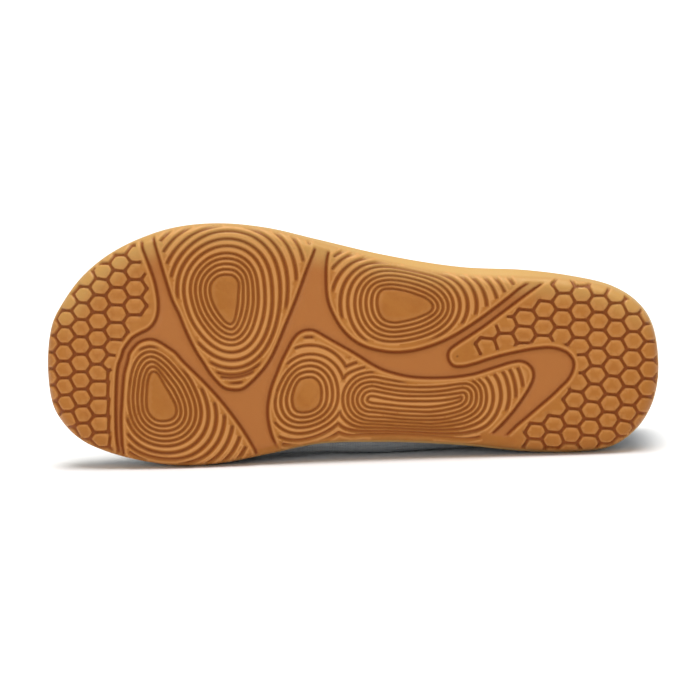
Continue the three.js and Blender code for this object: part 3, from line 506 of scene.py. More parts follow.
for system, pad in (("ball", "ball"), ("inner_ball", "inner_ball"), ("outer_waist", "outer_waist"), ("waist_left", "inner_waist")):
    cx, cy = RINGS[system]["centre"]
    for k in range(len(RINGS[system]["rings"])):
        a = np.arange(0, 360, 3.0)
        r = ring_radius(system, k, a)
        plan = np.stack([cx + r * np.cos(np.radians(a)), cy + r * np.sin(np.radians(a))], 1)
        outer = smoothstep(3.5, 6.5, k)
        half, depth = 1.08 + 0.3 * outer, 0.9 + 0.15 * outer
        if system != "waist_left" or k < 4:
            add_groove(catmull(plan, True, 6), True, half, depth, 1.75, pad)
            continue
        dense = catmull(plan, True, 6)
        keep = left_cap_number(dense) - 2 > k  # the rings run on into the long loops
        for piece in np.split(np.arange(len(dense)), np.where(np.diff(keep.astype(int)) != 0)[0] + 1):
            if keep[piece[0]] and len(piece) > 4:
                add_groove(dense[piece], False, half, depth, 1.75, pad)

for k, row in enumerate(LOOPS):
    left = [(372 + r * math.cos(math.radians(a)), 400 + r * math.sin(math.radians(a))) for a, r in zip(LOOP_LEFT, row["left"])]
    right = [(460 + r * math.cos(math.radians(a)), 397.5 + r * math.sin(math.radians(a))) for a, r in zip(LOOP_RIGHT, row["right"])]
    points = left + list(zip(LOOP_MID, row["upper"])) + right + list(zip(LOOP_MID, row["lower"]))[::-1]
    dense = catmull(points, True, 16)
    outer = smoothstep(4.5, 7.5, k)
    half, depth = 1.02 + 0.3 * outer, 0.85 + 0.15 * outer
    if k < 6:
        add_groove(dense, True, half, depth, 1.75, "inner_waist")
        continue
    keep = (ring_number("waist_left", dense) + 2 > k) | (dense[:, 0] > 372)
    for piece in np.split(np.arange(len(dense)), np.where(np.diff(keep.astype(int)) != 0)[0] + 1):
        if keep[piece[0]] and len(piece) > 4:
            add_groove(dense[piece], False, half, depth, 1.75, "inner_waist")


# ------------------------------------------------------------------ hexagons
def hex_edges(columns, squeeze=0.85):
    """Edges between the cells round the centres, regular once the chart is squeezed along the shoe."""
    c = np.array([p for col in columns for p in col], float)
    c[:, 0] *= squeeze
    _, _, tris, _, _, _ = delaunay_2d_cdt([tuple(p) for p in c], [], [], 0, 1e-6)
    centre, owner = [], {}
    for n, (i, j, k) in enumerate(tris):
        (ax, ay), (bx, by), (dx, dy) = c[i], c[j], c[k]
        e = 2 * (ax * (by - dy) + bx * (dy - ay) + dx * (ay - by))
        ux = ((ax * ax + ay * ay) * (by - dy) + (bx * bx + by * by) * (dy - ay) + (dx * dx + dy * dy) * (ay - by)) / e
        uy = ((ax * ax + ay * ay) * (dx - bx) + (bx * bx + by * by) * (ax - dx) + (dx * dx + dy * dy) * (bx - ax)) / e
        centre.append((ux / squeeze, uy, math.hypot(ux - ax, uy - ay)))
        for a, b in ((i, j), (j, k), (k, i)):
            owner.setdefault((min(a, b), max(a, b)), []).append(n)
    edges = []
    for pair in owner.values():
        if len(pair) == 2:
            a, b = centre[pair[0]], centre[pair[1]]
            if a[2] < 15 and b[2] < 15 and math.hypot(a[0] - b[0], a[1] - b[1]) > 1.5:
                edges.append(((a[0], a[1]), (b[0], b[1])))
    return edges


knots = []
for columns, pad in ((TOE_HEX, "toe"), (HEEL_HEX, "heel")):
    if pad == "toe":  # cells beyond the listed ones, so that those at the border are closed
        columns = columns + TOE_GHOSTS + [[(153.5, 262), (153.5, 280), (153.5, 297.5), (152.5, 315)], [(135.5, 341), (134, 359)], [(121, 247)], [(104, 255)], [(103, 457)], [(118, 374), (118, 390.5), (118.2, 408), (118.6, 425.5), (119.5, 442), (121, 458)], [(87, 449)], [(71, 437)]]
    else:
        columns = columns + HEEL_GHOSTS
    for a, b in hex_edges(columns):
        add_groove([a, ((a[0] + b[0]) / 2, (a[1] + b[1]) / 2), b], False, 1.0, 0.95, 1.7, pad)
        knots += [a, b]
knots = mm(knots)

# ------------------------------------------------------------------ tread surface
loop = stations(720)
fine = stations(2880)


def edge_at(points):
    """Inset from the outline, its outward direction, and the rounding of the edge there."""
    index, away = nearest(fine["p"], points)
    rel = points - fine["p"][index]
    d = -(rel * fine["out"][index]).sum(1)
    d = np.where(away > 3, away, d)
    out = np.where((away > 3)[:, None], -rel / np.maximum(away, 1e-6)[:, None], fine["out"][index])
    return d, out, fine["run"][index], fine["rise"][index], fine["flare"][index]


def shoulder(d, run, rise, flare):
    """Height of the rounded tread edge, and sine and cosine of its slope."""
    t = np.clip((run + flare - d) / run, 0, 1) * math.sin(EDGE_ANGLE)
    z = rise * (1 - np.sqrt(1 - t * t)) / (1 - math.cos(EDGE_ANGLE))
    slope = rise / (1 - math.cos(EDGE_ANGLE)) * t / np.sqrt(1 - t * t) * math.sin(EDGE_ANGLE) / run
    return z, slope / np.hypot(1, slope), 1 / np.hypot(1, slope), t / math.sin(EDGE_ANGLE)


ending = at_inset(loop, loop["flare"], 0)[:, :2]
rows = []

# grooves, cut off inside their pad's border and at the edge of the sole
samples = {"q": [], "t": [], "half": [], "depth": [], "end": []}
lines = []
every = np.concatenate([g["q"] for g in grooves])
every_s, every_member = pad_distance(every)
every_d = edge_at(every)[0]
every_in = inside(ending, every)
first = 0
for g in grooves:
    part = slice(first, first + len(g["q"]))
    first += len(g["q"])
    s, member, d = every_s[part], every_member[part], every_d[part]
    keep = (member == g["pad"]) & (s > g["rim"] - 0.1) & (d > 0.45) & every_in[part]
    fade = smoothstep(g["rim"] - 0.1, g["rim"] + 0.65, s)
    for piece in np.split(np.arange(len(keep)), np.where(np.diff(keep.astype(int)) != 0)[0] + 1):
        if not keep[piece[0]] or len(piece) < 6:
            continue
        samples["q"].append(g["q"][piece])
        samples["t"].append(g["t"][piece])
        samples["half"].append(np.full(len(piece), g["half"]))
        samples["depth"].append(g["depth"] * fade[piece])
        end = np.zeros(len(piece), bool)
        end[0] = end[-1] = True
        samples["end"].append(end)
        lines.append((g["q"][piece], g["half"]))
samples = {k: np.concatenate(v) for k, v in samples.items()}
for q, half in lines:
    p, t = resample(q, 0.82)
    n = np.stack([-t[:, 1], t[:, 0]], 1)
    for off in (0, 0.34, -0.34, 0.66, -0.66, 1.0, -1.0):
        rows.append((p + n * off * half, 0.2 if abs(off) < 0.5 else 0.24))
border_rows = []
for pad in PADS.values():
    p, t = resample(pad["run"], 0.85)
    n = np.stack([-t[:, 1], t[:, 0]], 1)
    for off in (0, 0.28, -0.28, 0.55, -0.55, 0.85, -0.85, 1.25, -1.25, 1.8, -1.8):
        border_rows.append((p + n * off, 0.25))
edge_rows = []
for share in (0.05, 0.13, 0.23, 0.35, 0.48, 0.62, 0.78, 0.95, 1.15):
    edge_rows.append((at_inset(loop, loop["flare"] + share * loop["run"], 0)[:, :2], 0.4))

# rows are taken in turn, and points too close to earlier ones are left out
taken = [ending]
grid = {}
CELL = 0.5


def thin(points, least):
    kept = []
    least2 = least * least
    for x, y in points:
        i, j = int(math.floor(x / CELL)), int(math.floor(y / CELL))
        free = True
        for a in (i - 1, i, i + 1):
            for b in (j - 1, j, j + 1):
                for u, v in grid.get((a, b), ()):
                    if (u - x) * (u - x) + (v - y) * (v - y) < least2:
                        free = False
                        break
                if not free:
                    break
            if not free:
                break
        if free:
            grid.setdefault((i, j), []).append((x, y))
            kept.append((x, y))
    return np.array(kept).reshape(-1, 2)


thin(ending, 0.05)
rows = border_rows + rows + edge_rows
lies_in = inside(ending, np.concatenate([points for points, _ in rows]))
first = 0
for points, least in rows:
    points, first = points[lies_in[first: first + len(points)]], first + len(points)
    if len(points):
        taken.append(thin(points, least))
# an even fill where nothing else stands
u, v = np.meshgrid(np.arange(0, 281, 1.9), np.arange(-60, 75, 1.65))
u = u + 0.95 * (np.arange(u.shape[0]) % 2)[:, None]
fill = np.stack([u.reshape(-1), v.reshape(-1)], 1)
fill = fill[inside(ending, fill)]
_, away = nearest(np.vstack(taken), fill)
taken.append(fill[away > 1.05])
vent_ring = [mm([VENT])[0] + r * np.array([math.cos(a), math.sin(a)]) for r in (0.35, 0.75, 1.15) for a in np.arange(0, 2 * math.pi, math.pi / 5)]
taken.append(thin(np.array(vent_ring), 0.2))
plan = np.vstack(taken)
ring = len(ending)
out_points, _, tris, origin, _, _ = delaunay_2d_cdt([tuple(p) for p in plan], [(i, (i + 1) % ring) for i in range(ring)], [], 1, 1e-7)
plan = np.array([tuple(p) for p in out_points])
tris = np.array([t for t in tris if len(t) == 3], np.int64)
# the boundary's own vertices, found again in the result
where = {}
for i, o in enumerate(origin):
    for k in o:
        where[k] = i
rim_index = np.array([where[k] for k in range(ring)])

d, out, run, rise, flare = edge_at(plan)
z, sine, cosine, share = shoulder(d, run, rise, flare)
pad_s, member = pad_distance(plan)

index, away = nearest(samples["q"], plan)
rel = plan - samples["q"][index]
across = np.abs(rel[:, 0] * -samples["t"][index, 1] + rel[:, 1] * samples["t"][index, 0])
t = np.where(samples["end"][index], away, np.minimum(across, away))
_, corner = nearest(knots, plan)
t = t - 0.45 * np.exp(-((corner / 1.2) ** 2)) * (t < 2.4)
line_away = t
t = np.clip(t / samples["half"][index], 0, 1)
hexagon = (member == 0) | (member == list(PADS).index("heel"))
profile = np.where(hexagon, 1 - smoothstep(0.32, 0.95, t), (0.5 + 0.5 * np.cos(np.pi * t)) ** 1.1)
groove = samples["depth"][index] * profile * smoothstep(1.2, 2.2, pad_s) * np.where(hexagon, 1 - smoothstep(0.94, 1.03, share), 1 - smoothstep(0.72, 0.97, share))

# channels: a rounded step down at the border with a sharper line at its foot, up to the flat floor of the channel
front = smoothstep(165, 185, plan[:, 0])
floor_z = np.where(z < CHANNEL, CHANNEL - z, 0)
deep = np.maximum(floor_z, front * 0.85 * (1 - smoothstep(0.75, 1.0, share)))
step = 1 - smoothstep(-0.62, 0.62, pad_s)
foot = 0.5 * np.exp(-(((pad_s + 0.8) / 0.55) ** 2))
channel = deep * (step + foot)

# smooth cores, slightly dished
dish = np.zeros(len(plan))
core = np.zeros(len(plan))
units = np.stack([658.5 - plan[:, 0] / UNIT, 361 - plan[:, 1] / UNIT], 1)
for system, pad in (("ball", "ball"), ("inner_ball", "inner_ball"), ("outer_waist", "outer_waist"), ("waist_left", "inner_waist")):
    cx, cy = RINGS[system]["centre"]
    rel = units - (cx, cy)
    q = np.hypot(rel[:, 0], rel[:, 1]) / ring_radius(system, 0, np.degrees(np.arctan2(rel[:, 1], rel[:, 0])))
    own = (q < 1) & (member == list(PADS).index(pad))
    dish = np.maximum(dish, np.where(own, 0.3 * (1 - smoothstep(0.35, 0.85, q)), 0))
    core = np.maximum(core, np.where(own, 1 - smoothstep(0.9, 1.0, q), 0))
vent = np.hypot(units[:, 0] - VENT[0], units[:, 1] - VENT[1]) * UNIT
dish = dish + 0.7 * (1 - smoothstep(0.25, 0.85, vent))

depth = np.maximum(channel, groove) + dish
point = np.column_stack([plan + (-out * sine[:, None]) * depth[:, None], z + cosine * depth])
# painted shade: the grooves and a line at the foot of each pad's border are darkened in the rubber's colour where
# shade falls, and the smooth cores a little
cavity_shade = np.clip(groove / 0.95 * np.where(hexagon, 0.92, 0.82) + 1.25 * np.exp(-(((pad_s + 0.74) / 0.66) ** 2)) * smoothstep(0.2, 0.6, deep), 0, 1)
cavity_shade = np.maximum(cavity_shade, 0.1 * core)
half_at = samples["half"][index]
# painted highlight: the lips of the grooves and a band just inside each pad's border are lightened as if lit from
# above
lip_highlight = smoothstep(0.66, 1.0, t) * (1 - smoothstep(half_at + 0.1, half_at + 0.9, line_away)) * smoothstep(0.2, 0.6, samples["depth"][index]) * np.where(hexagon, 0.55, 0.9)
lip_highlight = np.maximum(lip_highlight * (member >= 0) * (1 - 0.8 * core), 0.7 * np.exp(-(((pad_s - 0.7) / 0.6) ** 2)) * smoothstep(0.2, 0.6, deep) * (member >= 0))
in_channel = smoothstep(-0.2, 0.6, -pad_s) * (floor_z > 0.05)

# side wall, rim, inside of the cup and its floor
def layer(s, off, a):
    """A point of a layer inside the cup, off from its inner face: a runs from 0 on the floor to 1 on the wall."""
    cr, cz = np.maximum(2, 0.75 * s["run"] - 1), np.maximum(2, 0.75 * s["rise"] - 1)
    r, h = np.maximum(0.3, cr - off), np.maximum(0.3, cz - off)
    a = a * np.pi / 2
    return CUP_WALL + s["flare"] + off + r * (1 - np.sin(a)), FLOOR + off + h * (1 - np.cos(a))


bands = []
start = (loop["flare"], loop["rise"])
for k in range(1, 6):
    w = k / 6
    bands.append((start[0] * (1 - w), start[1] * (1 - w) + (loop["rim"] - 0.8) * w))
bands += [(0, loop["rim"] - 0.8), (0.12, loop["rim"] - 0.36), (0.4, loop["rim"] - 0.1), (0.8, loop["rim"]), (1.8, loop["rim"]), (2.5, loop["rim"] - 0.04), (CUP_WALL, loop["rim"] - 0.35)]
for a in (1.0, 0.8, 0.6, 0.4, 0.2, 0.0):
    bands.append(layer(loop, 0, a))
base = len(point)
wall = np.vstack([at_inset(loop, dd, zz) for dd, zz in bands])
n = len(loop["p"])
quads = []
previous = rim_index
for k in range(len(bands)):
    current = base + k * n + np.arange(n)
    quads.append(np.stack([previous, current, np.roll(current, -1), np.roll(previous, -1)], 1))
    previous = current
inner_ring = wall[-n:, :2]
tray_points, _, tray, tray_origin, _, _ = delaunay_2d_cdt([tuple(p) for p in inner_ring], [(i, (i + 1) % n) for i in range(n)], [], 1, 1e-7)
remap = {}
for i, o in enumerate(tray_origin):
    remap[i] = o[0]
tray = np.array([[previous[remap[i]] for i in f] for f in tray if len(f) == 3], np.int64)
vertices = np.vstack([point, wall])
extra = np.zeros(len(wall))
# the side wall is a paler rubber all round and the tread's shoulder blends towards it; along the outer side the
# shoulder and the tread's edge are lightened further, a painted highlight of the light from above
outer_highlight = smoothstep(5, 30, plan[:, 1])
pale = np.maximum((0.15 + 0.65 * outer_highlight) * smoothstep(0.7, 1.0, share), 0.72 * outer_highlight * (1 - smoothstep(3.0, 15.0, d)))
side = np.concatenate([pale, np.where(np.arange(len(bands)) < len(bands) - 6, 1.0, 0.0).repeat(n)])

# faces of the tread look down, those of the tray up
p0, p1, p2 = (vertices[tris[:, k]] for k in range(3))
up = np.cross(p1 - p0, p2 - p0)[:, 2] > 0
tris[up] = tris[up][:, ::-1]
p0, p1, p2 = (vertices[tray[:, k]] for k in range(3))
up = np.cross(p1 - p0, p2 - p0)[:, 2] < 0
tray[up] = tray[up][:, ::-1]
quads = np.vstack(quads)
a, b, c = (vertices[quads[:n, k]] for k in range(3))
outward = (np.cross(b - a, c - a)[:, :2] * loop["out"]).sum(1).mean() > 0
if not outward:
    quads = quads[:, ::-1]
outsole = mesh_object(
    "outsole_rubber",
    place(vertices),
    [tris, tray, quads],
    {"cavity_shade": np.concatenate([cavity_shade, extra]), "lip_highlight": np.concatenate([np.clip(lip_highlight, 0, 1), extra]), "channel": np.concatenate([in_channel, extra]), "side": side, "chart": np.vstack([point, wall]) / 1000},
)

# ------------------------------------------------------------------ upper
def collar_at(s, t=None):
    t = s["t"] if t is None else t
    c = lambda k: column([r[0] for r in COLLAR], [r[k] for r in COLLAR], t)
    sign = s["sign"]
    p = np.column_stack([c(1), sign * np.maximum(0, c(2)), c(3)])
    f = np.column_stack([c(4), sign * c(5), c(6)])
    return p, f


# Creases of the cloth: points on the wall, width and depth in mm. A trough has a positive depth, a ridge a negative one.
CREASES = [
    # across the vamp where the foot bends, deeper at the sides
    ([(178, -47, 20), (183, -41, 33), (186, -28, 46), (185, -10, 54), (182, 10, 57), (180, 30, 50), (180, 47, 36), (184, 58, 22)], 3.6, 1.25),
    ([(190, -46, 22), (194, -38, 35), (195, -22, 45), (193, -4, 50)], 3.2, 0.9),
    ([(191, 8, 50), (189, 28, 46), (190, 46, 33), (194, 56, 22)], 3.4, 0.95),
    ([(184, -46, 24), (189, -37, 37), (191, -24, 46), (190, -8, 52)], 3.6, -0.55),
    ([(168, 20, 62), (165, 36, 55), (163, 47, 42)], 3.6, 0.7),
    # from the throat down the quarters
    ([(112, 20, 74), (116, 32, 62), (121, 41, 48), (126, 46, 33)], 4.2, 1.0),
    ([(112, -20, 74), (117, -31, 62), (124, -41, 48)], 4.2, 0.9),
    ([(96, 31, 62), (101, 38, 50), (107, 43, 36), (111, 45, 24)], 4.0, 0.85),
    ([(128, 28, 74), (137, 38, 62), (143, 45, 48)], 4.4, 0.7),
    # slack under the ankle and at the heel
    ([(40, 34, 52), (52, 37, 44), (66, 39, 40), (80, 40, 42)], 3.8, 0.9),
    ([(38, -35, 50), (52, -39, 42), (68, -41, 40)], 3.8, 0.8),
    ([(14, 26, 48), (6, 14, 44), (3, 0, 42), (6, -14, 44), (14, -26, 48)], 3.6, 0.8),
    ([(13, 25, 36), (5, 12, 33), (3, -2, 32), (6, -15, 34)], 3.4, 0.6),
    # over the toes
    ([(232, -34, 30), (240, -20, 38), (243, 0, 41), (239, 22, 37), (232, 38, 28)], 6.0, 0.45),
]


def crease_depth(p):
    total = np.zeros(len(p))
    for points, width, depth in CREASES:
        q = catmull3(points)
        best = np.full(len(p), 1e9)
        where_on = np.zeros(len(p))
        for k, c in enumerate(q):
            on = p[((p - c) ** 2).sum(1).argmin()]  # the crease's point, brought onto the wall
            d2 = ((p - on) ** 2).sum(1)
            m = d2 < best
            best[m] = d2[m]
            where_on[m] = k / (len(q) - 1)
        taper = smoothstep(0, 0.22, where_on) * (1 - smoothstep(0.78, 1, where_on))
        r = np.sqrt(best) / width
        total += 1.7 * depth * taper * (np.exp(-r * r) - 0.28 * np.exp(-((r - 1.9) / 0.8) ** 2))
    return total


def catmull3(points):
    p = np.asarray(points, float)
    p = np.vstack([2 * p[0] - p[1], p, 2 * p[-1] - p[-2]])
    out = []
    u = np.linspace(0, 1, 14, endpoint=False)[:, None]
    for a, b, c, d in zip(p[:-3], p[1:-2], p[2:-1], p[3:]):
        out.append(0.5 * (2 * b + (c - a) * u + (2 * a - 5 * b + 4 * c - d) * u ** 2 + (3 * b - a - 3 * c + d) * u ** 3))
    return np.vstack(out + [p[-2:-1]])


cloth = stations(400)
m = len(cloth["p"])
WALL_STEPS = 64
under = at_inset(cloth, CUP_WALL + cloth["flare"] + GAP + np.maximum(0.3, np.maximum(2, 0.75 * cloth["run"] - 1) - GAP) + MARGIN, FLOOR + GAP)
outer = [under]
for a in (0.0, 0.25, 0.5, 0.75, 1.0):
    outer.append(at_inset(cloth, *layer(cloth, GAP, a)))
foot_point = at_inset(cloth, CUP_WALL + GAP, cloth["rim"])
lean = np.column_stack([cloth["out"], np.zeros(m)])
collar, arrive = collar_at(cloth)
second = foot_point + lean * cloth["lean"][:, None] + np.column_stack([np.zeros(m), np.zeros(m), cloth["lift"]])
third = collar + arrive
low_rows = len(outer)
for k in range(WALL_STEPS + 1):
    t = (k / WALL_STEPS) ** 1.1
    outer.append((1 - t) ** 3 * foot_point + 3 * (1 - t) ** 2 * t * second + 3 * (1 - t) * t * t * third + t ** 3 * collar)
outer = np.array(outer)  # rows, stations, xyz


def normals_of(g):
    around = np.roll(g, -1, 1) - np.roll(g, 1, 1)
    along = np.gradient(g, axis=0)
    c = np.cross(around, along)
    return c / np.maximum(np.linalg.norm(c, axis=2), 1e-9)[:, :, None]


height = np.concatenate([np.zeros(low_rows), np.arange(WALL_STEPS + 1) / WALL_STEPS])[:, None] * np.ones(m)
normal = normals_of(outer)
flat_outer = outer.reshape(-1, 3)
soft = crease_depth(flat_outer).reshape(outer.shape[:2])
soft *= smoothstep(0.02, 0.12, height) * (1 - smoothstep(0.90, 0.99, height))
# the hem of the collar: a padded band with a stitched line under it
along = np.linalg.norm(np.diff(outer, axis=0), axis=2)
to_top = np.concatenate([np.cumsum(along[::-1], axis=0)[::-1], np.zeros((1, m))])  # mm along the wall up to the collar
hem = -0.95 * np.sin(np.pi * np.clip(to_top / 10.5, 0, 1)) ** 0.8 + 0.75 * np.exp(-(((to_top - 11.3) / 0.9) ** 2))
hem *= smoothstep(0.25, 0.4, height)
# a sewn seam up the back of the heel
back = np.minimum(cloth["arc"], cloth["round"] - cloth["arc"])[None, :]
seam = 0.5 * np.exp(-((back / 0.8) ** 2)) - 0.35 * np.exp(-(((back - 2.2) / 1.2) ** 2))
seam = seam * smoothstep(0.02, 0.08, height) * smoothstep(10.5, 13, to_top)
push = soft + hem + seam
outer = outer - normal * push[:, :, None]
normal = normals_of(outer)
thick = UPPER_WALL + (COLLAR_WALL + 0.9 - UPPER_WALL) * (1 - smoothstep(2.0, 11.0, to_top)) * smoothstep(0.25, 0.4, height)
inner_rows = []
for r in range(len(outer)):
    if r == 0:
        inner_rows.append(under + (0, 0, UNDER_WALL))
    elif r < low_rows:
        inner_rows.append(at_inset(cloth, *layer(cloth, GAP + UNDER_WALL, (0.0, 0.25, 0.5, 0.75, 1.0)[r - 1])))
    else:
        blend = smoothstep(0.0, 0.08, height[r])[:, None]
        built = outer[r] - normal[r] * thick[r][:, None]
        start_in = at_inset(cloth, CUP_WALL + cloth["flare"] * 0 + GAP + UPPER_WALL, cloth["rim"])
        inner_rows.append(built if r > low_rows + 3 else built * blend + (outer[r] + (start_in - foot_point)) * (1 - blend))
inner = np.array(inner_rows)
keep_rows = [r for r in range(len(inner)) if r < low_rows or (r - low_rows) % 2 == 0]
inner = inner[keep_rows]
top, top_in = outer[-1], inner[-1]
crown = []
for k in (1, 2, 3, 4, 5):
    a = math.pi * k / 6
    mid, half_way = (top + top_in) / 2, (top - top_in) / 2
    crown.append(mid + half_way * math.cos(a) + np.array([0, 0, 1.5 * math.sin(a)]))
sheets = np.concatenate([outer, np.array(crown), inner[::-1]])
count = len(sheets)
i = np.arange(m)
quads = []
for r in range(count):
    r2 = (r + 1) % count
    quads.append(np.stack([r * m + i, r * m + (i + 1) % m, r2 * m + (i + 1) % m, r2 * m + i], 1))
quads = np.vstack(quads)
# coordinates of the knit, in mm: round the heel and then along the shoe, and over it
flat = sheets.reshape(-1, 3)
arc_side = np.minimum(cloth["arc"], cloth["round"] - cloth["arc"])
round_heel = np.tile(arc_side, count)
front_share = smoothstep(60, 120, flat[:, 0])
over = np.arctan2(flat[:, 2] - 18, np.abs(flat[:, 1]) + 1e-6) * 42 + 18
knit_u = (1 - front_share) * round_heel + front_share * (flat[:, 0] + 33)
knit_v = (1 - front_share) * flat[:, 2] + front_share * over
hem_mark = np.concatenate([1 - smoothstep(10.2, 11.6, to_top), np.ones((5, m)), (1 - smoothstep(10.2, 11.6, to_top))[keep_rows][::-1]]).reshape(-1)
hem_mark[: low_rows * m] = 0
# painted shade: the cloth is darkened in the troughs of the creases
trough = np.concatenate([np.clip(soft, 0, 1.5) / 1.5, np.zeros((5, m)), np.zeros((len(inner), m))]).reshape(-1)
arc_all = np.tile(cloth["arc"], count)
upper = mesh_object("upper_knit", place(flat), [quads], {"knit": np.column_stack([knit_u, knit_v, arc_all]), "hem": np.clip(hem_mark, 0, 1), "trough": trough})
co = place(flat)
a, b, c = (co[quads[(low_rows + 10) * m: (low_rows + 11) * m, k]] for k in range(3))
face_out = np.cross(b - a, c - a)
away_from = (a + b + c) / 3 - co[(low_rows + 10) * m: (low_rows + 11) * m].mean(0)
if (face_out * away_from).sum() < 0:
    upper.data.flip_normals()

# ------------------------------------------------------------------ insole
s = stations(320)
off = UPPER_WALL + 2 * GAP + 0.1
top_z = FLOOR + off + INSOLE
cr = np.maximum(2, 0.75 * s["run"] - 1)
hole = CUP_WALL + s["flare"] + GAP + np.maximum(0.3, cr - GAP) + MARGIN + 1
last = layer(s, off, 1.0)
wall_top = np.maximum(last[1], top_z - 0.8)
bed = [
    at_inset(s, hole + 6, FLOOR + GAP),
    at_inset(s, hole, FLOOR + GAP),
    at_inset(s, hole - 0.1, FLOOR + off),
    at_inset(s, *layer(s, off, 0.0)),
    at_inset(s, *layer(s, off, 0.5)),
    at_inset(s, *layer(s, off, 1.0)),
]
bed.append(at_inset(s, last[0], wall_top))
bed.append(at_inset(s, last[0] + 0.35, np.maximum(last[1] + 0.35, top_z - 0.25)))
bed.append(at_inset(s, last[0] + 1.2, np.maximum(last[1] + 0.6, top_z)))
for share in (0.12, 0.25, 0.4, 0.55, 0.72, 0.9, 1.0):
    dd = last[0] + 1.2 + share * (hole + 3 - last[0] - 1.2)
    bed.append(at_inset(s, dd, top_z + (np.maximum(last[1] + 0.6, top_z) - top_z) * (1 - smoothstep(0, 0.8, share))))
bed = np.array(bed)
k_n = len(s["p"])
flat = bed.reshape(-1, 3)
i = np.arange(k_n)
quads = np.vstack([np.stack([r * k_n + i, r * k_n + (i + 1) % k_n, (r + 1) * k_n + (i + 1) % k_n, (r + 1) * k_n + i], 1) for r in range(len(bed) - 1)])
caps = []
extra_points = []
for r, up_facing in ((0, False), (len(bed) - 1, True)):
    edge_ring = bed[r][:, :2]
    gx, gy = np.meshgrid(np.arange(4, 280, 3.5), np.arange(-60, 64, 3.5))
    inner_fill = np.stack([gx.reshape(-1), gy.reshape(-1)], 1)
    inner_fill = inner_fill[inside(edge_ring, inner_fill)]
    _, away = nearest(edge_ring, inner_fill)
    inner_fill = inner_fill[away > 1.6]
    every = np.vstack([edge_ring, inner_fill])
    pts, _, tri, origin, _, _ = delaunay_2d_cdt([tuple(p) for p in every], [(j, (j + 1) % k_n) for j in range(k_n)], [], 1, 1e-7)
    start_at = len(flat) + sum(len(e) for e in extra_points)
    number = {}
    added = []
    for j, (p, o) in enumerate(zip(pts, origin)):
        first = [x for x in o if x < k_n]
        if first:
            number[j] = r * k_n + first[0]
        else:
            number[j] = start_at + len(added)
            added.append((p[0], p[1], bed[r][0, 2]))
    extra_points.append(np.array(added).reshape(-1, 3))
    tri = np.array([[number[x] for x in f] for f in tri if len(f) == 3], np.int64)
    caps.append((tri, up_facing))
flat = np.vstack([flat] + extra_points)
# a worn footbed: shallow cups under the heel, the ball and the big toe
is_top = flat[:, 2] > top_z - 0.01
cup = lambda x, y, rx, ry, h: h * np.exp(-(((flat[:, 0] - x) / rx) ** 2 + ((flat[:, 1] - y) / ry) ** 2))
flat[:, 2] -= is_top * (cup(34, 0, 24, 20, 0.9) + cup(202, -22, 20, 17, 0.5) + cup(196, 22, 22, 24, 0.4) + cup(250, -20, 12, 11, 0.45))
faces = [quads]
for tri, up_facing in caps:
    a, b, c = (flat[tri[:, k]] for k in range(3))
    up = np.cross(b - a, c - a)[:, 2] > 0
    wrong = up != up_facing
    tri[wrong] = tri[wrong][:, ::-1]
    faces.append(tri)
a, b, c = (flat[quads[5 * k_n: 6 * k_n, k]] for k in range(3))
if (np.cross(b - a, c - a)[:, :2] * s["out"]).sum() < 0:
    faces[0] = quads[:, ::-1]
insole = mesh_object("insole_foam", place(flat), faces, {"chart": flat / 1000, "cover": smoothstep(top_z - 1.2, top_z - 0.3, flat[:, 2])})

# ------------------------------------------------------------------ materials
def rgb(r, g, b):
    f = lambda c: ((c / 255 + 0.055) / 1.055) ** 2.4 if c > 10 else c / 255 / 12.92
    return (f(r), f(g), f(b), 1)


class Nodes:
    """A small helper for node trees."""

    def __init__(self, name):
        self.material = bpy.data.materials.new(name)
        self.material.use_nodes = True
        self.tree = self.material.node_tree
        self.tree.nodes.clear()
        self.shader = self.add("ShaderNodeBsdfPrincipled")
        output = self.add("ShaderNodeOutputMaterial")
        self.link(self.shader.outputs["BSDF"], output.inputs["Surface"])

    def add(self, kind, **values):
        node = self.tree.nodes.new(kind)
        for k, v in values.items():
            setattr(node, k, v)
        return node

    def link(self, a, b):
        self.tree.links.new(a, b)

    def put(self, socket, value):
        if hasattr(value, "is_output"):
            self.link(value, socket)
        else:
            socket.default_value = value

    def attribute(self, name):
        return self.add("ShaderNodeAttribute", attribute_name=name)

    def math(self, operation, a, b=0.0, c=0.0, clamp=False):
        node = self.add("ShaderNodeMath", operation=operation, use_clamp=clamp)
        for socket, value in zip(node.inputs, (a, b, c)):
            self.put(socket, value)
        return node.outputs[0]

    def mix(self, share, a, b, kind="MIX"):
        node = self.add("ShaderNodeMix", data_type="RGBA", blend_type=kind)
        self.put(node.inputs[0], share)
        self.put(node.inputs[6], a)
        self.put(node.inputs[7], b)
        return node.outputs[2]

    def noise(self, scale, detail=2.0, rough=0.5, vector=None, distortion=0.0):
        node = self.add("ShaderNodeTexNoise")
        node.inputs["Scale"].default_value = scale
        node.inputs["Detail"].default_value = detail
        node.inputs["Roughness"].default_value = rough
        node.inputs["Distortion"].default_value = distortion
        if vector is not None:
            self.link(vector, node.inputs["Vector"])
        return node.outputs["Fac"]

    def ramp(self, value, low, high, a=0.0, b=1.0):
        node = self.add("ShaderNodeMapRange", interpolation_type="SMOOTHSTEP")
        self.put(node.inputs[0], value)
        for k, v in enumerate((low, high, a, b)):
            node.inputs[1 + k].default_value = v
        return node.outputs[0]

    def bump(self, height, distance, strength=1.0, before=None):
        node = self.add("ShaderNodeBump")
        node.inputs["Strength"].default_value = strength
        node.inputs["Distance"].default_value = distance
        self.put(node.inputs["Height"], height)
        if before is not None:
            self.link(before, node.inputs["Normal"])
        return node.outputs["Normal"]

    def scaled(self, vector, x, y, z):
        node = self.add("ShaderNodeVectorMath", operation="MULTIPLY")
        self.link(vector, node.inputs[0])
        node.inputs[1].default_value = (x, y, z)
        return node.outputs[0]


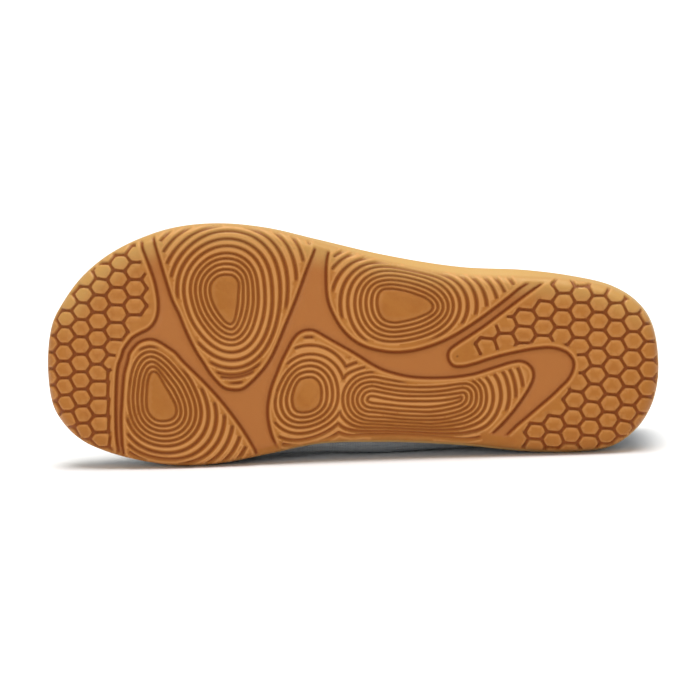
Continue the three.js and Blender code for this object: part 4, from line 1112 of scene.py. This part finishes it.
def gum_rubber():
    n = Nodes("gum_rubber")
    chart = n.attribute("chart").outputs["Vector"]
    cavity_shade = n.attribute("cavity_shade").outputs["Fac"]
    lip_highlight_mark = n.attribute("lip_highlight").outputs["Fac"]
    channel_mark = n.attribute("channel").outputs["Fac"]
    broad = n.noise(16, 2, 0.5, chart)
    mottle = n.noise(140, 4, 0.6, chart, 0.4)
    speck = n.noise(1500, 2, 0.5, chart)
    tan = n.mix(n.ramp(broad, 0.32, 0.68), GUM["pad_a"], GUM["pad_b"])
    tan = n.mix(n.ramp(mottle, 0.35, 0.7, 0.0, 0.5), tan, GUM["pad_c"])
    tan = n.mix(n.math("MULTIPLY", channel_mark, 0.8), tan, GUM["channel"])
    # the paler side-wall rubber, which along the outer edge of the tread is a painted highlight
    tan = n.mix(n.math("MULTIPLY", n.attribute("side").outputs["Fac"], 0.85), tan, GUM["side"])
    # painted highlight: the lips and pad rims take the pale lip colour
    tan = n.mix(n.math("MULTIPLY", lip_highlight_mark, 0.6), tan, GUM["lip_highlight"])
    # painted shade: the grooves and pad borders take the dark groove colour
    tan = n.mix(n.math("MULTIPLY", n.math("POWER", cavity_shade, 1.2), 0.97), tan, GUM["groove"])
    tan = n.mix(n.ramp(speck, 0.62, 0.8, 0.0, 0.12), tan, GUM["groove"])
    n.link(tan, n.shader.inputs["Base Color"])
    rough = n.math("ADD", n.ramp(mottle, 0.3, 0.7, 0.42, 0.54), n.math("MULTIPLY", cavity_shade, 0.12))
    n.link(rough, n.shader.inputs["Roughness"])
    n.shader.inputs["Specular IOR Level"].default_value = 0.22
    n.shader.inputs["Specular Tint"].default_value = (1.0, 0.82, 0.55, 1)
    n.shader.inputs["Coat Weight"].default_value = 0.07
    n.shader.inputs["Coat Roughness"].default_value = 0.3
    n.shader.inputs["Subsurface Weight"].default_value = 0.06
    n.shader.inputs["Subsurface Radius"].default_value = (0.0018, 0.0009, 0.0004)
    normal = n.bump(n.noise(900, 3, 0.6, chart), 0.00006, 0.6)
    normal = n.bump(n.noise(120, 2, 0.5, chart), 0.00012, 0.4, normal)
    n.link(normal, n.shader.inputs["Normal"])
    return n.material


def knit_cloth():
    n = Nodes("blue_grey_knit")
    knit = n.attribute("knit").outputs["Vector"]
    hem_mark = n.attribute("hem").outputs["Fac"]
    crease_shade_mark = n.attribute("trough").outputs["Fac"]
    split = n.add("ShaderNodeSeparateXYZ")
    n.link(knit, split.inputs[0])
    u, v, arc = split.outputs
    # stitches: columns of small V shapes, 1.5 mm apart
    wale = n.math("MULTIPLY", v, 1 / 1.5)
    frac = n.math("FRACT", wale)
    tent = n.math("ABSOLUTE", n.math("SUBTRACT", frac, 0.5))
    phase = n.math("ADD", n.math("MULTIPLY", u, 1 / 1.15), n.math("MULTIPLY", tent, 1.5))
    loopw = n.math("MULTIPLY_ADD", n.math("SINE", n.math("MULTIPLY", phase, 2 * math.pi)), 0.5, 0.5)
    ridge = n.math("MULTIPLY_ADD", n.math("COSINE", n.math("MULTIPLY", tent, 4 * math.pi)), -0.5, 0.5)
    stitch = n.math("MULTIPLY", n.math("MULTIPLY_ADD", loopw, 0.7, 0.3), ridge)
    # ribs of the collar hem, 2.2 mm apart
    rib = n.math("MULTIPLY_ADD", n.math("SINE", n.math("MULTIPLY", arc, 2 * math.pi / 2.2)), 0.5, 0.5)
    relief = n.add("ShaderNodeMix", data_type="FLOAT")
    n.link(hem_mark, relief.inputs[0])
    n.link(stitch, relief.inputs[2])
    n.link(n.math("MULTIPLY", rib, 2.0), relief.inputs[3])
    streak = n.noise(1.0, 4, 0.62, n.scaled(knit, 0.035, 0.62, 0.0))
    thread = n.noise(1.0, 2, 0.6, n.scaled(knit, 0.25, 2.6, 0.0))
    patch = n.noise(1.0, 2, 0.5, n.scaled(knit, 0.02, 0.05, 0.0))
    colour = n.mix(n.ramp(streak, 0.34, 0.66), CLOTH["dark"], CLOTH["mid"])
    colour = n.mix(n.ramp(thread, 0.52, 0.72, 0.0, 0.75), colour, CLOTH["pale"])
    colour = n.mix(n.ramp(thread, 0.48, 0.28, 0.0, 0.6), colour, CLOTH["deep"])
    colour = n.mix(n.ramp(patch, 0.4, 0.7, 0.0, 0.25), colour, CLOTH["warm"])
    colour = n.mix(n.math("MULTIPLY", n.math("SUBTRACT", 1.0, stitch), n.math("MULTIPLY", n.math("SUBTRACT", 1.0, hem_mark), 0.42)), colour, CLOTH["deep"])
    colour = n.mix(n.math("MULTIPLY", hem_mark, n.math("MULTIPLY_ADD", rib, -0.3, 0.62)), colour, CLOTH["hem"])
    # painted shade in the troughs of the creases
    colour = n.mix(n.math("MULTIPLY", crease_shade_mark, 0.3), colour, CLOTH["deep"])
    n.link(colour, n.shader.inputs["Base Color"])
    n.link(n.ramp(thread, 0.3, 0.7, 0.82, 0.95), n.shader.inputs["Roughness"])
    n.shader.inputs["Specular IOR Level"].default_value = 0.25
    n.shader.inputs["Sheen Weight"].default_value = 0.25
    n.shader.inputs["Sheen Roughness"].default_value = 0.5
    normal = n.bump(relief.outputs[0], 0.00035, 0.9)
    normal = n.bump(n.noise(1.0, 2, 0.6, n.scaled(knit, 3.0, 3.0, 0.0)), 0.00012, 0.5, normal)
    n.link(normal, n.shader.inputs["Normal"])
    return n.material


def foam_cloth():
    n = Nodes("insole_cloth")
    chart = n.attribute("chart").outputs["Vector"]
    cover = n.attribute("cover").outputs["Fac"]
    split = n.add("ShaderNodeSeparateXYZ")
    n.link(chart, split.inputs[0])
    wx = n.math("SINE", n.math("MULTIPLY", split.outputs[0], 2 * math.pi / 0.0011))
    wy = n.math("SINE", n.math("MULTIPLY", split.outputs[1], 2 * math.pi / 0.0011))
    weave = n.math("MULTIPLY_ADD", n.math("MULTIPLY", wx, wy), 0.5, 0.5)
    cells = n.noise(700, 3, 0.7, chart)
    broad = n.noise(22, 3, 0.5, chart)
    cloth_colour = n.mix(n.ramp(broad, 0.35, 0.7), FOAM["cloth"], FOAM["worn"])
    cloth_colour = n.mix(n.math("MULTIPLY", weave, 0.35), cloth_colour, FOAM["thread"])
    foam_colour = n.mix(n.ramp(cells, 0.4, 0.65), FOAM["foam_a"], FOAM["foam_b"])
    n.link(n.mix(cover, foam_colour, cloth_colour), n.shader.inputs["Base Color"])
    n.link(n.ramp(cells, 0.3, 0.7, 0.85, 0.97), n.shader.inputs["Roughness"])
    n.shader.inputs["Sheen Weight"].default_value = 0.2
    normal = n.bump(weave, 0.0002, 0.6)
    normal = n.bump(cells, 0.00025, 0.5, normal)
    n.link(normal, n.shader.inputs["Normal"])
    return n.material


def pale_floor():
    n = Nodes("pale_floor")
    coord = n.add("ShaderNodeTexCoord").outputs["Object"]
    n.link(n.mix(n.ramp(n.noise(3, 2, 0.5, coord), 0.3, 0.7), FLOOR_COLOURS[0], FLOOR_COLOURS[1]), n.shader.inputs["Base Color"])
    n.shader.inputs["Roughness"].default_value = 0.85
    n.shader.inputs["Specular IOR Level"].default_value = 0.1
    return n.material


def gum(r, g, b):
    """The rubber's own colour for one seen under this light."""
    return tuple(max(0.003, k * v - 0.006) for k, v in zip((1.03, 0.99, 0.92), rgb(r, g, b)[:3])) + (1,)


# groove is the colour of painted shade in the hollows and of the dark specks; the lip colour is a painted highlight;
# side is the paler side-wall rubber and, on the tread's outer edge, a painted highlight
GUM = {
    "pad_a": gum(168, 110, 54), "pad_b": gum(160, 103, 48), "pad_c": gum(153, 94, 44), "channel": gum(164, 104, 58),
    "groove": (0.185, 0.036, 0.003, 1), "lip_highlight": gum(206, 150, 94), "side": (0.55, 0.335, 0.105, 1),
}
CLOTH = {
    "dark": rgb(112, 121, 128), "mid": rgb(152, 161, 166), "pale": rgb(197, 205, 207), "deep": rgb(78, 85, 92), "warm": rgb(160, 153, 154),
    "hem": rgb(78, 86, 94),
}
FOAM = {"cloth": rgb(70, 74, 80), "worn": rgb(92, 94, 97), "thread": rgb(50, 53, 58), "foam_a": rgb(52, 55, 60), "foam_b": rgb(80, 83, 88)}
FLOOR_COLOURS = ((0.93, 0.93, 0.93, 1), (0.95, 0.95, 0.95, 1))

for piece, node, slot, material in ((outsole, "outsole", "gum_rubber", gum_rubber()), (upper, "upper", "knit", knit_cloth()), (insole, "insole", "foam", foam_cloth())):
    piece.data.materials.append(material)
    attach(piece, "root")
    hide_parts(node)

# ------------------------------------------------------------------ floor, light and camera
floor_mesh = bpy.data.meshes.new("floor")
floor_mesh.from_pydata([(-8, -8, 0), (8, -8, 0), (8, 8, 0), (-8, 8, 0)], [], [(0, 1, 2, 3)])
floor = bpy.data.objects.new("floor", floor_mesh)
bpy.context.scene.collection.objects.link(floor)
floor.data.materials.append(pale_floor())

world = bpy.data.worlds.new("studio")
bpy.context.scene.world = world
world.use_nodes = True
background = world.node_tree.nodes["Background"]
background.inputs[0].default_value = (1.0, 1.0, 1.0, 1)
background.inputs[1].default_value = 0.47


def area_light(name, location, target, size, watts, colour=(1, 1, 1)):
    data = bpy.data.lights.new(name, "AREA")
    data.shape, data.size, data.energy, data.color = "DISK", size, watts, colour
    obj = bpy.data.objects.new(name, data)
    obj.location = location
    obj.rotation_euler = (Vector(target) - Vector(location)).to_track_quat("-Z", "Y").to_euler()
    bpy.context.scene.collection.objects.link(obj)
    return obj


sun_data = bpy.data.lights.new("sky_panel", "SUN")
sun_data.energy, sun_data.angle = 2.25, math.radians(45)
sun = bpy.data.objects.new("sky_panel", sun_data)
sun.rotation_euler = Vector((0.03, -0.16, 1.0)).to_track_quat("Z", "Y").to_euler()
bpy.context.scene.collection.objects.link(sun)
area_light("key", (-0.8, -2.0, 0.6), (0, 0, 0.05), 0.6, 6.5)
area_light("rim", (0.0, 0.5, 1.6), (0, 0, 0.05), 0.9, 11, (1.0, 0.97, 0.9))

TILT = math.radians(2.5)
rotation = PLACED[:, :3]
cam_right = rotation @ np.array([-1.0, 0, 0])
cam_back = rotation @ np.array([0, math.sin(TILT), -math.cos(TILT)])
cam_up = rotation @ np.array([0, math.cos(TILT), math.sin(TILT)])
target = (rotation @ np.array([141.4, 5.04, 0]) + PLACED[:, 3]) / 1000
DISTANCE = 6.0
spot = target + cam_back * DISTANCE
camera_data = bpy.data.cameras.new("camera")
camera_data.sensor_width = 36
camera_data.lens = 36 * DISTANCE / (700 * UNIT / 1000) * 1.003
camera_data.clip_end = 50
camera = bpy.data.objects.new("camera", camera_data)
camera.matrix_world = Matrix([[cam_right[k], cam_up[k], cam_back[k], spot[k]] for k in range(3)] + [[0, 0, 0, 1]])
bpy.context.scene.collection.objects.link(camera)
bpy.context.scene.camera = camera
bpy.context.scene.view_settings.view_transform = "Standard"
bpy.context.scene.view_settings.look = "None"

print("triangles", {o.name: sum(len(p.vertices) - 2 for p in o.data.polygons) for o in (outsole, upper, insole)})
